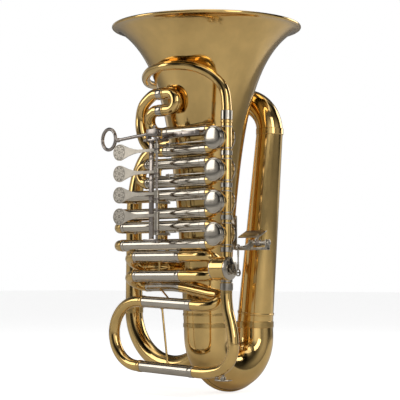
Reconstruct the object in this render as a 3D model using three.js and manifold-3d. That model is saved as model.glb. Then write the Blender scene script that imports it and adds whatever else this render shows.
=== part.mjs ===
// A compact five-rotor bass tuba, bell up, in millimetres.
// +Z is up, -Y is the front, where the rotor caps face, and +X is the right seen from the front.
// The origin is on the bell's axis, level with the bottom of the bottom bow.
import * as THREE from 'three';
import { mergeVertices } from 'three/addons/utils/BufferGeometryUtils.js';
import Module from 'manifold-3d';

const wasm = await Module();
wasm.setup();

// ---- Driving dimensions ----
const gap = 0.3; // between pieces that touch
const bellRadius = 185;
const bellHeight = 712;
const flareOffset = 70; // a short offset makes a sharper flare
const bellThroatRadius = 44;
const bellWall = 1.6;
const rimBeadRadius = 3.2;
const bowJointHeight = 127; // where the bell and the outer branch enter the bottom bow
const bowRadius = 65; // centreline of the bottom bow
const bowStraight = 22; // straight ends of the bottom bow
const bowEndRadius = 36;
const bowTurnAngle = THREE.MathUtils.degToRad(81); // heading of the bottom bow from the bell
const tubeWall = 1.2;
const topBowHeight = 510;
const topBowSpan = 130;
const branchClearance = 4; // between the bell and the branches behind it
const branchTopRadius = 26;
const topBowEndRadius = 23;
const rearLegEndRadius = 21;
const lowerBowRadius = 111;
const lowerBowHeight = 153;
const rearLegX = -47;
const rearLegY = 90;
const leftBranchRadius = 18;
const leftBranchTopRadius = 14.5;
const slideRadius = 10.8; // outside of every valve slide tube
const slideWall = 0.8;
const valveX = 108;
const valveFrontY = -107; // front face of the rotor casings
const valveLowZ = 300.5; // rotor axis of the lowest front valve
const valveSpacing = 59.5;
const valveCount = 4;
const valveTopZ = valveLowZ + (valveCount - 1) * valveSpacing;
const casingRadius = 22;
const casingWall = 3;
const casingLength = 27;
const rotorClearance = 0.4;
const portOffset = 17.5; // of the slide legs above and below the rotor axis
const portY = valveFrontY + casingLength / 2; // plane of the valve ports
const knuckleOffset = 15; // of the vertical knuckles beside the rotor axis
const knuckleRadius = 10;
const spindleRadius = 4;
const capHeight = 11.5;
const capWall = 1.2;
const stopArmRadius = 8.2;
const stopArmReach = 6.6; // of the link rods' plane in front of the casings
const pinRadius = 1.5;
const axleX = 0;
const axleRadius = 2.4;
const hubRadius = 5.6;
const crankLength = 34;
const paddleRadius = 16;
const paddleX = -92;
const paddleThickness = 2.4;
const paddleSpacing = valveSpacing * 0.6857;
const paddleTopZ = valveTopZ - 20;
const linkOffset = stopArmRadius * Math.SQRT1_2; // of a link rod from its rotor's axis
const leadpipeRadius = 7.4;
const leadpipeEndRadius = 9.6;
const receiverRadius = 10;
const receiverLength = 46;
const fifthY = -105;
const fifthZ = 237;
const fifthLength = 30;
const ringRadius = 20;
const ringWire = 3.4;

const round = { bell: 32, large: 18, middle: 12, slide: 8, small: 8 };
const ringTurn = THREE.MathUtils.degToRad(30); // a bent tube has a ring for each such turn

// Radius of a hole of flat faces that clears a round piece at every angle.
const clearOf = (radius, clearance = gap, sides = round.small) =>
  (radius + clearance) / Math.cos(Math.PI / sides);
const slideLegRadius = (slideRadius - slideWall) * Math.cos(Math.PI / round.slide) - gap;

// ---- Materials ----
const finish = (color, roughness) => new THREE.MeshStandardMaterial({ color, roughness, metalness: 1 });
const brass = finish(0xc9a04e, 0.16);
const nickel = finish(0xa89d8c, 0.22);
const darkNickel = finish(0x6f6a66, 0.3);

const tuba = new THREE.Group();

function add(name, geometry, material) {
  const mesh = new THREE.Mesh(geometry, material);
  mesh.name = name;
  tuba.add(mesh);
  return mesh;
}

// ---- Vectors ----
const vec = (x, y, z) => new THREE.Vector3(x, y, z);
const lerp = THREE.MathUtils.lerp;

// ---- Solids and booleans ----
function bare(geometry) {
  const clean = geometry.clone();
  for (const key of Object.keys(clean.attributes)) {
    if (key !== 'position') clean.deleteAttribute(key);
  }
  return mergeVertices(clean, 1e-4);
}

function signedVolume(geometry) {
  const position = geometry.attributes.position;
  const index = geometry.index.array;
  const corners = [vec(0, 0, 0), vec(0, 0, 0), vec(0, 0, 0)];
  let volume = 0;
  for (let i = 0; i < index.length; i += 3) {
    corners.forEach((corner, k) => corner.fromBufferAttribute(position, index[i + k]));
    volume += corners[0].dot(corners[1].clone().cross(corners[2])) / 6;
  }
  return volume;
}

// Turns a closed surface so that its faces point out.
function facingOut(geometry) {
  const clean = bare(geometry);
  if (signedVolume(clean) < 0) {
    const index = clean.index.array;
    for (let i = 0; i < index.length; i += 3) [index[i], index[i + 1]] = [index[i + 1], index[i]];
  }
  return clean;
}

function solid(geometry) {
  const clean = facingOut(geometry);
  const vertProperties = new Float32Array(clean.attributes.position.array);
  const triVerts = new Uint32Array(clean.index.array);
  return new wasm.Manifold(new wasm.Mesh({ numProp: 3, vertProperties, triVerts }));
}

function asGeometry(body) {
  const mesh = body.getMesh();
  const geometry = new THREE.BufferGeometry();
  geometry.setAttribute('position', new THREE.Float32BufferAttribute(mesh.vertProperties, 3));
  geometry.setIndex(Array.from(mesh.triVerts));
  return geometry;
}

const join = (...bodies) => bodies.reduce((whole, body) => whole.add(body));
const cut = (body, ...tools) => tools.reduce((whole, tool) => whole.subtract(tool), body);

// A cylinder or cone between two points.
function rod(from, to, radius, endRadius = radius, sides = round.small) {
  const axis = to.clone().sub(from);
  const geometry = new THREE.CylinderGeometry(endRadius, radius, axis.length(), sides);
  geometry.applyQuaternion(new THREE.Quaternion().setFromUnitVectors(vec(0, 1, 0), axis.clone().normalize()));
  geometry.translate(...from.clone().lerp(to, 0.5).toArray());
  return solid(geometry);
}

function ball(centre, radius, sides = round.slide) {
  const geometry = new THREE.SphereGeometry(radius, sides, sides / 2);
  geometry.rotateX(Math.PI / 2);
  return solid(geometry.translate(...centre.toArray()));
}

function block(low, high) {
  const size = high.clone().sub(low);
  const geometry = new THREE.BoxGeometry(...size.toArray());
  return solid(geometry.translate(...low.clone().lerp(high, 0.5).toArray()));
}

// ---- Tubes ----
// Shares of a curve's length where a tube needs a ring: its ends, where a bend starts or stops,
// and wherever it has turned enough since the last ring.
function ringStops(curve, turn) {
  const samples = 400;
  const slight = THREE.MathUtils.degToRad(0.05);
  const tangents = Array.from({ length: samples + 1 }, (_, i) => curve.getTangentAt(i / samples));
  const bends = tangents.map((tangent, i) => i > 0 && tangent.angleTo(tangents[i - 1]) > slight);
  const stops = [0];
  for (let i = 2; i < samples - 2; i++) {
    const turned = tangents[i].angleTo(tangents[stops.at(-1)]) >= turn;
    const changes = bends[i] !== bends[i + 1] && i - stops.at(-1) > 3;
    if (turned || changes) stops.push(i);
  }
  return [...stops, samples].map((i) => i / samples);
}

// Bends a straight hollow tube along a curve. radiusAt gives the outside radius at a share of the length.
function bentTube(curve, radiusAt, { wall = tubeWall, sides = round.middle, turn = ringTurn } = {}) {
  const stops = ringStops(curve, turn);
  const outside = stops.map((share, i) => new THREE.Vector2(radiusAt(share), i));
  const bore = outside.map((point) => new THREE.Vector2(point.x - wall, point.y)).reverse();
  const geometry = new THREE.LatheGeometry([...outside, ...bore, outside[0].clone()], sides);
  const tangents = stops.map((share) => curve.getTangentAt(share));
  const start = Math.abs(tangents[0].z) < 0.9 ? vec(0, 0, 1) : vec(0, 1, 0);
  const normals = [start.clone().cross(tangents[0]).normalize()];
  for (let i = 1; i < stops.length; i++) {
    const swing = new THREE.Quaternion().setFromUnitVectors(tangents[i - 1], tangents[i]);
    normals.push(normals[i - 1].clone().applyQuaternion(swing));
  }
  const position = geometry.attributes.position;
  for (let v = 0; v < position.count; v++) {
    const ring = Math.round(position.getY(v));
    const point = curve.getPointAt(stops[ring]);
    const across = tangents[ring].clone().cross(normals[ring]);
    point.addScaledVector(normals[ring], position.getX(v)).addScaledVector(across, -position.getZ(v));
    position.setXYZ(v, point.x, point.y, point.z);
  }
  return facingOut(geometry);
}

const evenTube = (curve, radius, options) => bentTube(curve, () => radius, options);
const taperTube = (curve, start, end, options) => bentTube(curve, (t) => lerp(start, end, t), options);
const through = (...points) => new THREE.CatmullRomCurve3(points, false, 'centripetal');
const line = (from, to) => new THREE.LineCurve3(from, to);

// Curves joined end to end.
function route(...curves) {
  const path = new THREE.CurvePath();
  curves.forEach((curve) => path.add(curve));
  return path;
}

// A half turn from one point to another, both open towards the heading, with straight ends.
class HalfTurn extends THREE.Curve {
  constructor(from, to, heading, straight = 0) {
    super();
    this.from = from;
    this.middle = from.clone().lerp(to, 0.5);
    this.side = from.clone().sub(this.middle);
    this.radius = this.side.length();
    this.side.normalize();
    this.heading = heading.clone().normalize();
    this.straight = straight;
  }

  getPoint(t, target = vec(0, 0, 0)) {
    const arc = Math.PI * this.radius;
    const along = t * (arc + 2 * this.straight) - this.straight;
    const angle = THREE.MathUtils.clamp(along / this.radius, 0, Math.PI);
    const before = Math.min(along, 0);
    const after = Math.max(along - arc, 0);
    target.copy(this.middle).addScaledVector(this.side, this.radius * Math.cos(angle));
    const reach = this.straight + this.radius * Math.sin(angle) + before - after;
    return target.addScaledVector(this.heading, reach);
  }
}

const pipe = (from, to, radius, wall = slideWall, sides = round.slide) =>
  evenTube(line(from, to), radius, { wall, sides });

// A straight cone between two heights whose ends stay level however it leans.
function leaningTube(low, high, lowRadius, highRadius, wall = tubeWall) {
  const span = high.z - low.z;
  const outline = [[lowRadius, gap], [highRadius, span - gap], [highRadius - wall, span - gap],
    [lowRadius - wall, gap], [lowRadius, gap]].map(([radius, height]) => new THREE.Vector2(radius, height));
  const geometry = new THREE.LatheGeometry(outline, round.middle).rotateX(Math.PI / 2);
  const lean = high.clone().sub(low).divideScalar(span);
  const shear = new THREE.Matrix4().makeBasis(vec(1, 0, 0), vec(0, 1, 0), lean).setPosition(low);
  return facingOut(geometry.applyMatrix4(shear));
}

// A short round brace between two neighbouring tubes of the same radius, let into their walls.
function strut(from, to) {
  const inset = (slideLegRadius + 2 * gap) / to.distanceTo(from);
  return rod(from.clone().lerp(to, inset), to.clone().lerp(from, inset), 2, 2, 6);
}

// ---- Bell ----
const flareLength = bellHeight - bowJointHeight;
const flarePower = Math.log(bellRadius / bellThroatRadius)
  / Math.log((flareLength + flareOffset) / flareOffset);
const bellRadiusAt = (z) => bellRadius * (flareOffset / (bellHeight - z + flareOffset)) ** flarePower;

function bellGeometry() {
  const steps = 10;
  const outside = [];
  const inside = [];
  const top = bellHeight - rimBeadRadius;
  for (let i = 0; i <= steps; i++) {
    const z = lerp(bowJointHeight + gap, top, (i / steps) ** 0.6);
    const radius = i === steps ? bellRadiusAt(z) - rimBeadRadius / 2 : bellRadiusAt(z);
    outside.push(new THREE.Vector2(radius, z));
    inside.unshift(new THREE.Vector2(bellRadiusAt(z) - bellWall, z));
  }
  // The edge is rolled into a bead.
  inside.shift();
  const bead = [];
  for (let i = 0; i <= 4; i++) {
    const angle = lerp(-0.6, 0.9, i / 4) * Math.PI;
    bead.push(new THREE.Vector2(bellRadius - rimBeadRadius + rimBeadRadius * Math.cos(angle),
      top + rimBeadRadius * Math.sin(angle)));
  }
  outside.pop();
  const geometry = new THREE.LatheGeometry([...outside, ...bead, ...inside, outside[0].clone()], round.bell);
  return facingOut(geometry.rotateX(Math.PI / 2));
}
add('bell', bellGeometry(), brass);

// ---- Bottom bow and its guard ----
const bowHeading = vec(Math.cos(bowTurnAngle), Math.sin(bowTurnAngle), 0);
const bellFoot = vec(0, 0, bowJointHeight);
const branchFoot = bellFoot.clone().addScaledVector(bowHeading, 2 * bowRadius);
const bottomBowCurve = new HalfTurn(bellFoot, branchFoot, vec(0, 0, -1), bowStraight);
const bowRadiusAt = (t) => lerp(bellThroatRadius, bowEndRadius, t);
add('bottom_bow', bentTube(bottomBowCurve, bowRadiusAt, { sides: round.large }), brass);

// The guard is a strip along the outside of the turn, from the lowest point up the outer side.
function guardGeometry() {
  const width = 14;
  const thickness = 1.6;
  const points = [];
  const middle = bellFoot.clone().lerp(branchFoot, 0.5);
  for (let i = 0; i <= 12; i++) {
    const t = lerp(0.3, 0.93, i / 12);
    const onCurve = bottomBowCurve.getPointAt(t);
    const outward = onCurve.clone().sub(middle.clone().setZ(bowJointHeight - bowStraight));
    if (onCurve.z > bowJointHeight - bowStraight) outward.z = 0;
    outward.normalize();
    points.push(onCurve.addScaledVector(outward, bowRadiusAt(t) + gap + thickness / 2 + 0.4));
  }
  const across = vec(-bowHeading.y, bowHeading.x, 0);
  const strip = new THREE.BoxGeometry(width, thickness, 12, 1, 1, 12);
  const position = strip.attributes.position;
  const route = through(...points);
  for (let v = 0; v < position.count; v++) {
    const t = (position.getZ(v) + 6) / 12;
    const tangent = route.getTangentAt(t);
    const lift = tangent.clone().cross(across).normalize();
    const point = route.getPointAt(t);
    point.addScaledVector(across, position.getX(v)).addScaledVector(lift, position.getY(v));
    position.setXYZ(v, point.x, point.y, point.z);
  }
  return facingOut(strip);
}
add('bottom_bow_guard', guardGeometry(), brass);

// ---- Outer branch, top bow, rear leg, lower bow and left branch ----
const topBowSetback = bellRadiusAt(topBowHeight + topBowSpan / 2) + branchTopRadius + branchClearance;
const rearBowStart = vec(topBowSpan / 2 - 2, topBowSetback, topBowHeight);
const rearBowEnd = vec(-topBowSpan / 2 - 2, topBowSetback, topBowHeight);
const seam = vec(0, 0, gap);
add('outer_branch', leaningTube(branchFoot, rearBowStart, bowEndRadius, branchTopRadius), brass);

const topBowCurve = new HalfTurn(rearBowStart, rearBowEnd, vec(0, 0, 1));
add('top_bow', taperTube(topBowCurve, branchTopRadius, topBowEndRadius), brass);

const rearLegFoot = vec(rearLegX, rearLegY, lowerBowHeight);
add('rear_leg', leaningTube(rearLegFoot, rearBowEnd, rearLegEndRadius, topBowEndRadius), brass);

const leftFoot = rearLegFoot.clone().add(vec(-2 * lowerBowRadius, 0, 0));
const lowerBowCurve = new HalfTurn(rearLegFoot, leftFoot, vec(0, 0, -1));
add('lower_left_bow', taperTube(lowerBowCurve, rearLegEndRadius, leftBranchRadius), brass);

const leftBranchCurve = through(
  leftFoot.clone().add(seam),
  leftFoot.clone().add(vec(0, 0, 100)),
  leftFoot.clone().add(vec(1, 0, 228)),
  leftFoot.clone().add(vec(12, 2, 285)),
  leftFoot.clone().add(vec(32, 5, 322)),
  leftFoot.clone().add(vec(66, 8, 342)),
);

// ---- Rotor valves ----
const valveZs = Array.from({ length: valveCount }, (_, i) => valveTopZ - i * valveSpacing);
const valveBackY = valveFrontY + casingLength;
const boreRadius = casingRadius - casingWall;
const rotorRadius = boreRadius - rotorClearance;
const plateThickness = 4;
const stubEndX = valveX - portOffset - 17;
const stubReach = valveSpacing / 2 - 3.5;
const fifthTopGap = 2 * (valveSpacing / 2 - stubReach); // between the last casing's knuckle and the fifth's
const stubBore = knuckleRadius - slideWall;

// Rotors turn about Y. The same casing, turned, serves the fifth valve, whose ports all stand upright.
function casingBody(centre, stubs) {
  const front = vec(centre.x, valveFrontY, centre.z);
  const back = vec(centre.x, valveBackY, centre.z);
  const shell = rod(front, back, casingRadius, casingRadius, round.large);
  const bore = rod(front.clone().add(vec(0, plateThickness, 0)), back.clone().add(vec(0, 1, 0)), boreRadius,
    boreRadius, round.large);
  const spindleHole = rod(front.clone().sub(vec(0, 1, 0)), back, clearOf(spindleRadius));
  return cut(join(shell, ...stubs.outer), bore, spindleHole, ...stubs.bores);
}

function rowStub(z, sign) {
  const corner = vec(valveX - portOffset, portY, z + sign * portOffset);
  const end = corner.clone().setX(stubEndX);
  const middle = vec(valveX, portY, z);
  return {
    outer: [rod(middle, corner, slideRadius, slideRadius, round.slide), ball(corner, slideRadius),
      rod(corner, end, slideRadius, slideRadius, round.slide)],
    bores: [rod(middle, corner, stubBore - 1),
      rod(corner.clone().add(vec(3, 0, 0)), end.clone().sub(vec(1, 0, 0)), stubBore - 1)],
  };
}

// Each casing's lower knuckle ends in a sleeve that reaches down to the next casing.
function knuckleStub(z, sign) {
  const low = vec(valveX + knuckleOffset, portY, z);
  const high = low.clone().add(vec(0, 0, sign * stubReach));
  const outer = [rod(low, high, knuckleRadius, knuckleRadius, round.slide)];
  const bores = [rod(low, high.clone().add(vec(0, 0, sign * 20)), stubBore - 1)];
  if (sign < 0) {
    const sleeveEnd = vec(low.x, low.y, z - valveSpacing + stubReach + gap);
    const sleeveRadius = knuckleRadius + 1;
    outer.push(rod(high.clone().add(vec(0, 0, 2)), sleeveEnd, sleeveRadius, sleeveRadius, round.slide));
  }
  return { outer, bores };
}

function mergeStubs(list) {
  return { outer: list.flatMap((stub) => stub.outer), bores: list.flatMap((stub) => stub.bores) };
}

// The rotor has a scooped passage on each side of its web, spindles at both ends and the stop arm in front.
function rotorBody(centre, armSign) {
  const at = (dx, y, dz) => vec(centre.x + dx, y, centre.z + dz);
  const front = valveFrontY + plateThickness + gap;
  const back = valveBackY - plateThickness - gap;
  const drum = rod(at(0, front, 0), at(0, back, 0), rotorRadius, rotorRadius, round.middle);
  const scoops = [-1, 1].map((side) => rod(at(side * 12.5, portY, -30), at(side * 12.5, portY, 30), 8.4));
  const armFront = valveFrontY - stopArmReach + 2;
  const spindle = rod(at(0, armFront + 1, 0), at(0, valveBackY - 0.5, 0), spindleRadius);
  const pinX = -linkOffset;
  const pinZ = armSign * linkOffset;
  const armBack = valveFrontY - 1.4;
  const hub = rod(at(0, armFront, 0), at(0, armBack, 0), 6);
  const tip = rod(at(pinX, armFront, pinZ), at(pinX, armBack, pinZ), 3);
  const pin = rod(at(pinX, armFront - 4.4, pinZ), at(pinX, armBack, pinZ), pinRadius);
  return join(cut(drum, ...scoops), spindle, hub, tip, pin);
}

// A domed cover over the stop arm, with a window in its skirt for the link rod.
function capBody(centre, armSign) {
  const rise = 3.4;
  const domeSteps = 3;
  const skirt = capHeight - rise;
  const profile = [new THREE.Vector2(casingRadius - capWall - 0.6, 0), new THREE.Vector2(casingRadius, 0),
    new THREE.Vector2(casingRadius, skirt)];
  for (let i = 1; i <= domeSteps; i++) {
    const angle = (i / domeSteps) * (Math.PI / 2);
    profile.push(new THREE.Vector2((casingRadius - 1.5) * Math.cos(angle), skirt + rise * Math.sin(angle)));
  }
  profile.at(-1).x = 0;
  for (let i = domeSteps; i >= 0; i--) {
    const angle = (i / domeSteps) * (Math.PI / 2);
    const radius = i === domeSteps ? 0 : (casingRadius - 1.8 - capWall) * Math.cos(angle);
    profile.push(new THREE.Vector2(radius, skirt - capWall + rise * Math.sin(angle)));
  }
  profile.push(profile[0].clone());
  const geometry = new THREE.LatheGeometry(profile, round.middle);
  geometry.rotateX(Math.PI).translate(centre.x, valveFrontY - gap, centre.z);
  const windowZ = centre.z + armSign * linkOffset;
  const window = block(vec(centre.x - casingRadius - 5, valveFrontY - stopArmReach - 2.4, windowZ - 4),
    vec(centre.x - 12, valveFrontY - stopArmReach + 2.4, windowZ + 4));
  return cut(solid(geometry), window);
}

// The screwed back cover is the rotor's rear bearing.
function backCoverBody(centre) {
  const low = valveBackY + gap;
  const disc = rod(vec(centre.x, low, centre.z), vec(centre.x, low + 3, centre.z), casingRadius + 2,
    casingRadius + 2, round.large);
  const boss = rod(vec(centre.x, low - plateThickness, centre.z), vec(centre.x, low + 1, centre.z),
    boreRadius - gap, boreRadius - gap, round.middle);
  const knurl = rod(vec(centre.x, low + 2, centre.z), vec(centre.x, low + 5, centre.z), 9);
  const socketAt = (y) => vec(centre.x, y, centre.z);
  const socket = rod(socketAt(low - 9), socketAt(low + 1), clearOf(spindleRadius));
  return cut(join(disc, boss, knurl), socket);
}

const armSigns = [-1, -1, 1, 1]; // the upper two linkages run below their rotor axes, the lower two above
valveZs.forEach((z, i) => {
  const centre = vec(valveX, portY, z);
  const stubs = mergeStubs([rowStub(z, 1), rowStub(z, -1), knuckleStub(z, 1), knuckleStub(z, -1)]);
  add(`valve_casing_${i + 1}`, asGeometry(casingBody(centre, stubs)), brass);
  add(`rotor_${i + 1}`, asGeometry(rotorBody(centre, armSigns[i])), nickel);
  add(`valve_cap_${i + 1}`, asGeometry(capBody(centre, armSigns[i])), nickel);
  add(`valve_back_cover_${i + 1}`, asGeometry(backCoverBody(centre)), nickel);
});

// ---- Leadpipe ----
// It wraps round the bell at an even distance, from the player's side to the first rotor.
function aroundBell(angle, z) {
  const turn = THREE.MathUtils.degToRad(angle);
  const reach = bellRadiusAt(z + leadpipeRadius) + leadpipeRadius + 5;
  return vec(reach * Math.cos(turn), reach * Math.sin(turn), z);
}
const leadpipeFoot = vec(valveX + knuckleOffset, portY, valveTopZ + stubReach + gap);
const wrapZ = valveTopZ + 124; // lowest height of the leadpipe round the bell
const receiverFoot = aroundBell(152, wrapZ + 3);
const leadpipeCurve = through(
  receiverFoot,
  aroundBell(172, wrapZ + 2),
  aroundBell(195, wrapZ),
  aroundBell(212, wrapZ + 1),
  aroundBell(230, wrapZ + 7),
  aroundBell(250, wrapZ + 14),
  aroundBell(271, wrapZ + 17),
  aroundBell(288, wrapZ + 15.5),
  vec(leadpipeFoot.x - 51, portY - 17, valveTopZ + 131),
  vec(leadpipeFoot.x - 23, portY - 5, valveTopZ + 113),
  vec(leadpipeFoot.x - 6, portY, valveTopZ + 91),
  vec(leadpipeFoot.x, portY, valveTopZ + 64),
  leadpipeFoot,
);
const leadpipeTube = solid(taperTube(leadpipeCurve, leadpipeRadius, leadpipeEndRadius,
  { wall: slideWall, sides: round.slide }));
const ferruleHigh = leadpipeFoot.clone().add(vec(0, 0, 15));
const ferruleTube = solid(pipe(leadpipeFoot, ferruleHigh, knuckleRadius + 1, 1.8));
// The mouthpiece receiver carries on from the small end.
const receiverHeading = leadpipeCurve.getTangentAt(0).negate();
const receiverStart = receiverFoot.clone().addScaledVector(receiverHeading, -3);
const receiverEnd = receiverFoot.clone().addScaledVector(receiverHeading, receiverLength);
const receiver = solid(pipe(receiverStart, receiverEnd, receiverRadius, 3.6, 12));
add('leadpipe', asGeometry(join(leadpipeTube, ferruleTube, receiver)), brass);

// ---- Slide loops of the four front valves ----
const rowFront = (x, z) => vec(x, portY, z);
const legStartX = stubEndX - gap;

// A U of tube that pulls out: a bow with two thinner legs that run inside the fixed tubes.
// Its two mouths meet the fixed tubes at the given points.
function slideBody(mouths, heading, straight, legLength) {
  const along = (point, distance) => point.clone().addScaledVector(heading, distance);
  const [from, to] = mouths.map((mouth) => along(mouth, gap));
  const curve = new HalfTurn(from, to, heading, straight);
  const wall = slideRadius - slideLegRadius + 0.4;
  const bow = solid(evenTube(curve, slideRadius, { wall, sides: round.slide }));
  const legs = [from, to].map((end) => solid(pipe(along(end, -legLength), along(end, 1), slideLegRadius, 1)));
  return join(bow, ...legs);
}

const left = vec(-1, 0, 0);
const right = vec(1, 0, 0);
const slideStraight = 2;
const legInsert = 40;
const pullLength = 35;

// First valve: both legs run left, and a curl above them holds the crook, which pulls out to the right.
const crookTopZ = valveTopZ + 92;
const crookLowZ = crookTopZ - 32;
const crookY = -(bellRadiusAt(crookTopZ) + slideRadius + 3);
const crookMouthX = -20;
const crookStraight = 14;
const v1UpperZ = valveTopZ + portOffset;
const v1LowerZ = valveTopZ - portOffset;
const curlFootX = -36;
const innerFootX = -32;
const bigCurl = through(
  rowFront(curlFootX, v1LowerZ),
  vec(curlFootX - 21, portY - 1, v1LowerZ + 4),
  vec(curlFootX - 38, portY - 4, v1LowerZ + 21),
  vec(curlFootX - 45, portY - 7, v1LowerZ + 46),
  vec(curlFootX - 44, portY - 8, v1LowerZ + 70),
  vec(curlFootX - 34, crookY, crookTopZ - 19),
  vec(curlFootX - 14, crookY, crookTopZ - 3),
  vec(crookMouthX - 22, crookY, crookTopZ),
  vec(crookMouthX - 18, crookY, crookTopZ),
);
const innerCurl = through(
  vec(crookMouthX - 18, crookY, crookLowZ),
  vec(crookMouthX - 21, crookY, crookLowZ),
  vec(crookMouthX - 33, crookY, crookLowZ - 8),
  vec(crookMouthX - 39, (crookY + portY) / 2, crookLowZ - 24),
  vec(crookMouthX - 31, portY - 2, v1UpperZ + 4),
  vec(innerFootX - 4, portY, v1UpperZ),
  rowFront(innerFootX, v1UpperZ),
);
const slideOptions = { wall: slideWall, sides: round.slide };
const crookMouths = [vec(crookMouthX, crookY, crookTopZ), vec(crookMouthX, crookY, crookLowZ)];
const v1Lower = route(line(rowFront(legStartX, v1LowerZ), bigCurl.getPoint(0)), bigCurl,
  line(bigCurl.getPoint(1), crookMouths[0]));
const v1Upper = route(line(crookMouths[1], innerCurl.getPoint(0)), innerCurl,
  line(innerCurl.getPoint(1), rowFront(legStartX, v1UpperZ)));
add('valve_1_lower_tube', evenTube(v1Lower, slideRadius, slideOptions), brass);
add('valve_1_upper_tube', evenTube(v1Upper, slideRadius, slideOptions), brass);
add('valve_1_slide', asGeometry(slideBody(crookMouths, right, crookStraight, 14)), brass);

// Second valve: one upright U on the left.
const v2Z = valveTopZ - valveSpacing;
const v2Mouth = -69;
const strutX = -38;
const v2Mouths = [rowFront(v2Mouth, v2Z + portOffset), rowFront(v2Mouth, v2Z - portOffset)];
const v2Tubes = v2Mouths.map((mouth) => solid(pipe(mouth, rowFront(legStartX, mouth.z), slideRadius)));
const v2Strut = strut(rowFront(strutX, v2Z + portOffset), rowFront(strutX, v2Z - portOffset));
add('valve_2_tubes', asGeometry(join(...v2Tubes, v2Strut)), nickel);
add('valve_2_slide', asGeometry(slideBody(v2Mouths, left, slideStraight, legInsert)), brass);

// Third and fourth valves: each leg runs left to a U that turns back, and a bow behind joins the two rows.
const rowDepth = 34; // from a front leg to its back leg
const rowBackY = portY + rowDepth;
const rowMouth = -132;
const returnX = -80;
for (const valve of [3, 4]) {
  const centreZ = valveTopZ - (valve - 1) * valveSpacing;
  const zs = { upper: centreZ + portOffset, lower: centreZ - portOffset };
  const backAt = (x, z) => vec(x, rowBackY, z);
  const front = Object.values(zs).map((z) => solid(
    pipe(rowFront(rowMouth, z), rowFront(legStartX, z), slideRadius)));
  const turn = new HalfTurn(backAt(returnX, zs.upper), backAt(returnX, zs.lower), right);
  const back = route(line(backAt(rowMouth, zs.upper), backAt(returnX, zs.upper)), turn,
    line(backAt(returnX, zs.lower), backAt(rowMouth, zs.lower)));
  const struts = [strut(rowFront(strutX, zs.upper), rowFront(strutX, zs.lower)),
    ...Object.values(zs).map((z) => strut(rowFront(returnX - 20, z), backAt(returnX - 20, z)))];
  const tubes = join(...front, solid(evenTube(back, slideRadius, slideOptions)), ...struts);
  add(`valve_${valve}_tubes`, asGeometry(tubes), nickel);
  for (const [name, z] of Object.entries(zs)) {
    const body = slideBody([rowFront(rowMouth, z), backAt(rowMouth, z)], left, slideStraight, legInsert);
    add(`valve_${valve}_${name}_slide`, asGeometry(body), brass);
  }
}

// ---- Main tuning slide: two rows in front of the bell, each a U that tilts down to its back leg ----
const mainTopZ = 261;
const mainLowZ = 224;
const mainBackY = portY + 38;
const mainDrop = 19; // of a back leg below its front leg
const mainMouth = -101;
const mainNickelEnd = 38;
const mainTurnX = 80;
const mainRight = through(
  rowFront(mainNickelEnd, mainTopZ),
  rowFront(mainTurnX - 18, mainTopZ),
  vec(mainTurnX - 3, portY + 7, mainTopZ - 1),
  vec(mainTurnX, portY + 23, mainTopZ - 9),
  vec(mainTurnX, portY + 28, (mainTopZ + mainLowZ) / 2),
  vec(mainTurnX, portY + 23, mainLowZ + 9),
  vec(mainTurnX - 3, portY + 7, mainLowZ + 1),
  rowFront(mainTurnX - 18, mainLowZ),
  rowFront(mainNickelEnd, mainLowZ),
);
// The two rows are one tube, turned back on itself at the right.
const mainRows = route(line(rowFront(mainMouth, mainTopZ), rowFront(mainNickelEnd, mainTopZ)), mainRight,
  line(rowFront(mainNickelEnd, mainLowZ), rowFront(mainMouth, mainLowZ)));
add('main_slide_rows', evenTube(mainRows, slideRadius, slideOptions), nickel);
const mainBackAt = (x, z) => vec(x, mainBackY, z - mainDrop);
for (const [name, z, insert] of [['upper', mainTopZ, 14], ['lower', mainLowZ, 30]]) {
  const body = slideBody([rowFront(mainMouth, z), mainBackAt(mainMouth, z)], left, slideStraight, insert);
  add(`main_slide_${name}_bow`, asGeometry(body), brass);
}

// From the upper row's back leg a tube passes the bell on the left and rises behind it into the left branch.
const besideBell = -(bellRadiusAt(mainTopZ) + slideRadius + 4);
const leftTop = leftBranchCurve.getPoint(1);
const connectingCurve = through(
  leftTop,
  vec(leftTop.x + 33, leftTop.y, leftTop.z + 4),
  vec(leftTop.x + 68, leftTop.y, leftTop.z - 5),
  vec(leftTop.x + 91, leftTop.y - 3, leftTop.z - 30),
  vec(leftTop.x + 101, leftTop.y - 9, leftTop.z - 75),
  vec(besideBell - 34, 80, mainTopZ + 69),
  vec(besideBell - 32, 72, mainTopZ + 24),
  vec(besideBell - 21, 58, mainTopZ - 5),
  vec(besideBell - 7, 35, mainTopZ - mainDrop + 2),
  vec(besideBell, 5, mainTopZ - mainDrop),
  vec(besideBell + 3, mainBackY + 14, mainTopZ - mainDrop),
  mainBackAt(-77, mainTopZ),
  mainBackAt(-80, mainTopZ),
);
const leftTube = route(leftBranchCurve, connectingCurve,
  line(mainBackAt(-80, mainTopZ), mainBackAt(mainMouth, mainTopZ)));
const leftShare = leftBranchCurve.getLength() / leftTube.getLength();
const leftRadiusAt = (t) => (t < leftShare
  ? lerp(leftBranchRadius, leftBranchTopRadius, t / leftShare)
  : lerp(leftBranchTopRadius, slideRadius, Math.min(1, (t - leftShare) / (0.8 - leftShare))));
add('left_branch', bentTube(leftTube, leftRadiusAt, { wall: slideWall, sides: 12 }), brass);

// ---- Fifth valve: its rotor turns about X ----
const fifthX = valveX + knuckleOffset;
const fifthPortY = portY;
const fifthLeft = fifthX - fifthLength / 2;
const fifthRight = fifthX + fifthLength / 2;
const fifthTopReach = valveZs.at(-1) - stubReach - fifthTopGap - fifthZ;
const fifthLowReach = 26;
const onFifth = (x, dy = 0, dz = 0) => vec(x, fifthY + dy, fifthZ + dz);

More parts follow.
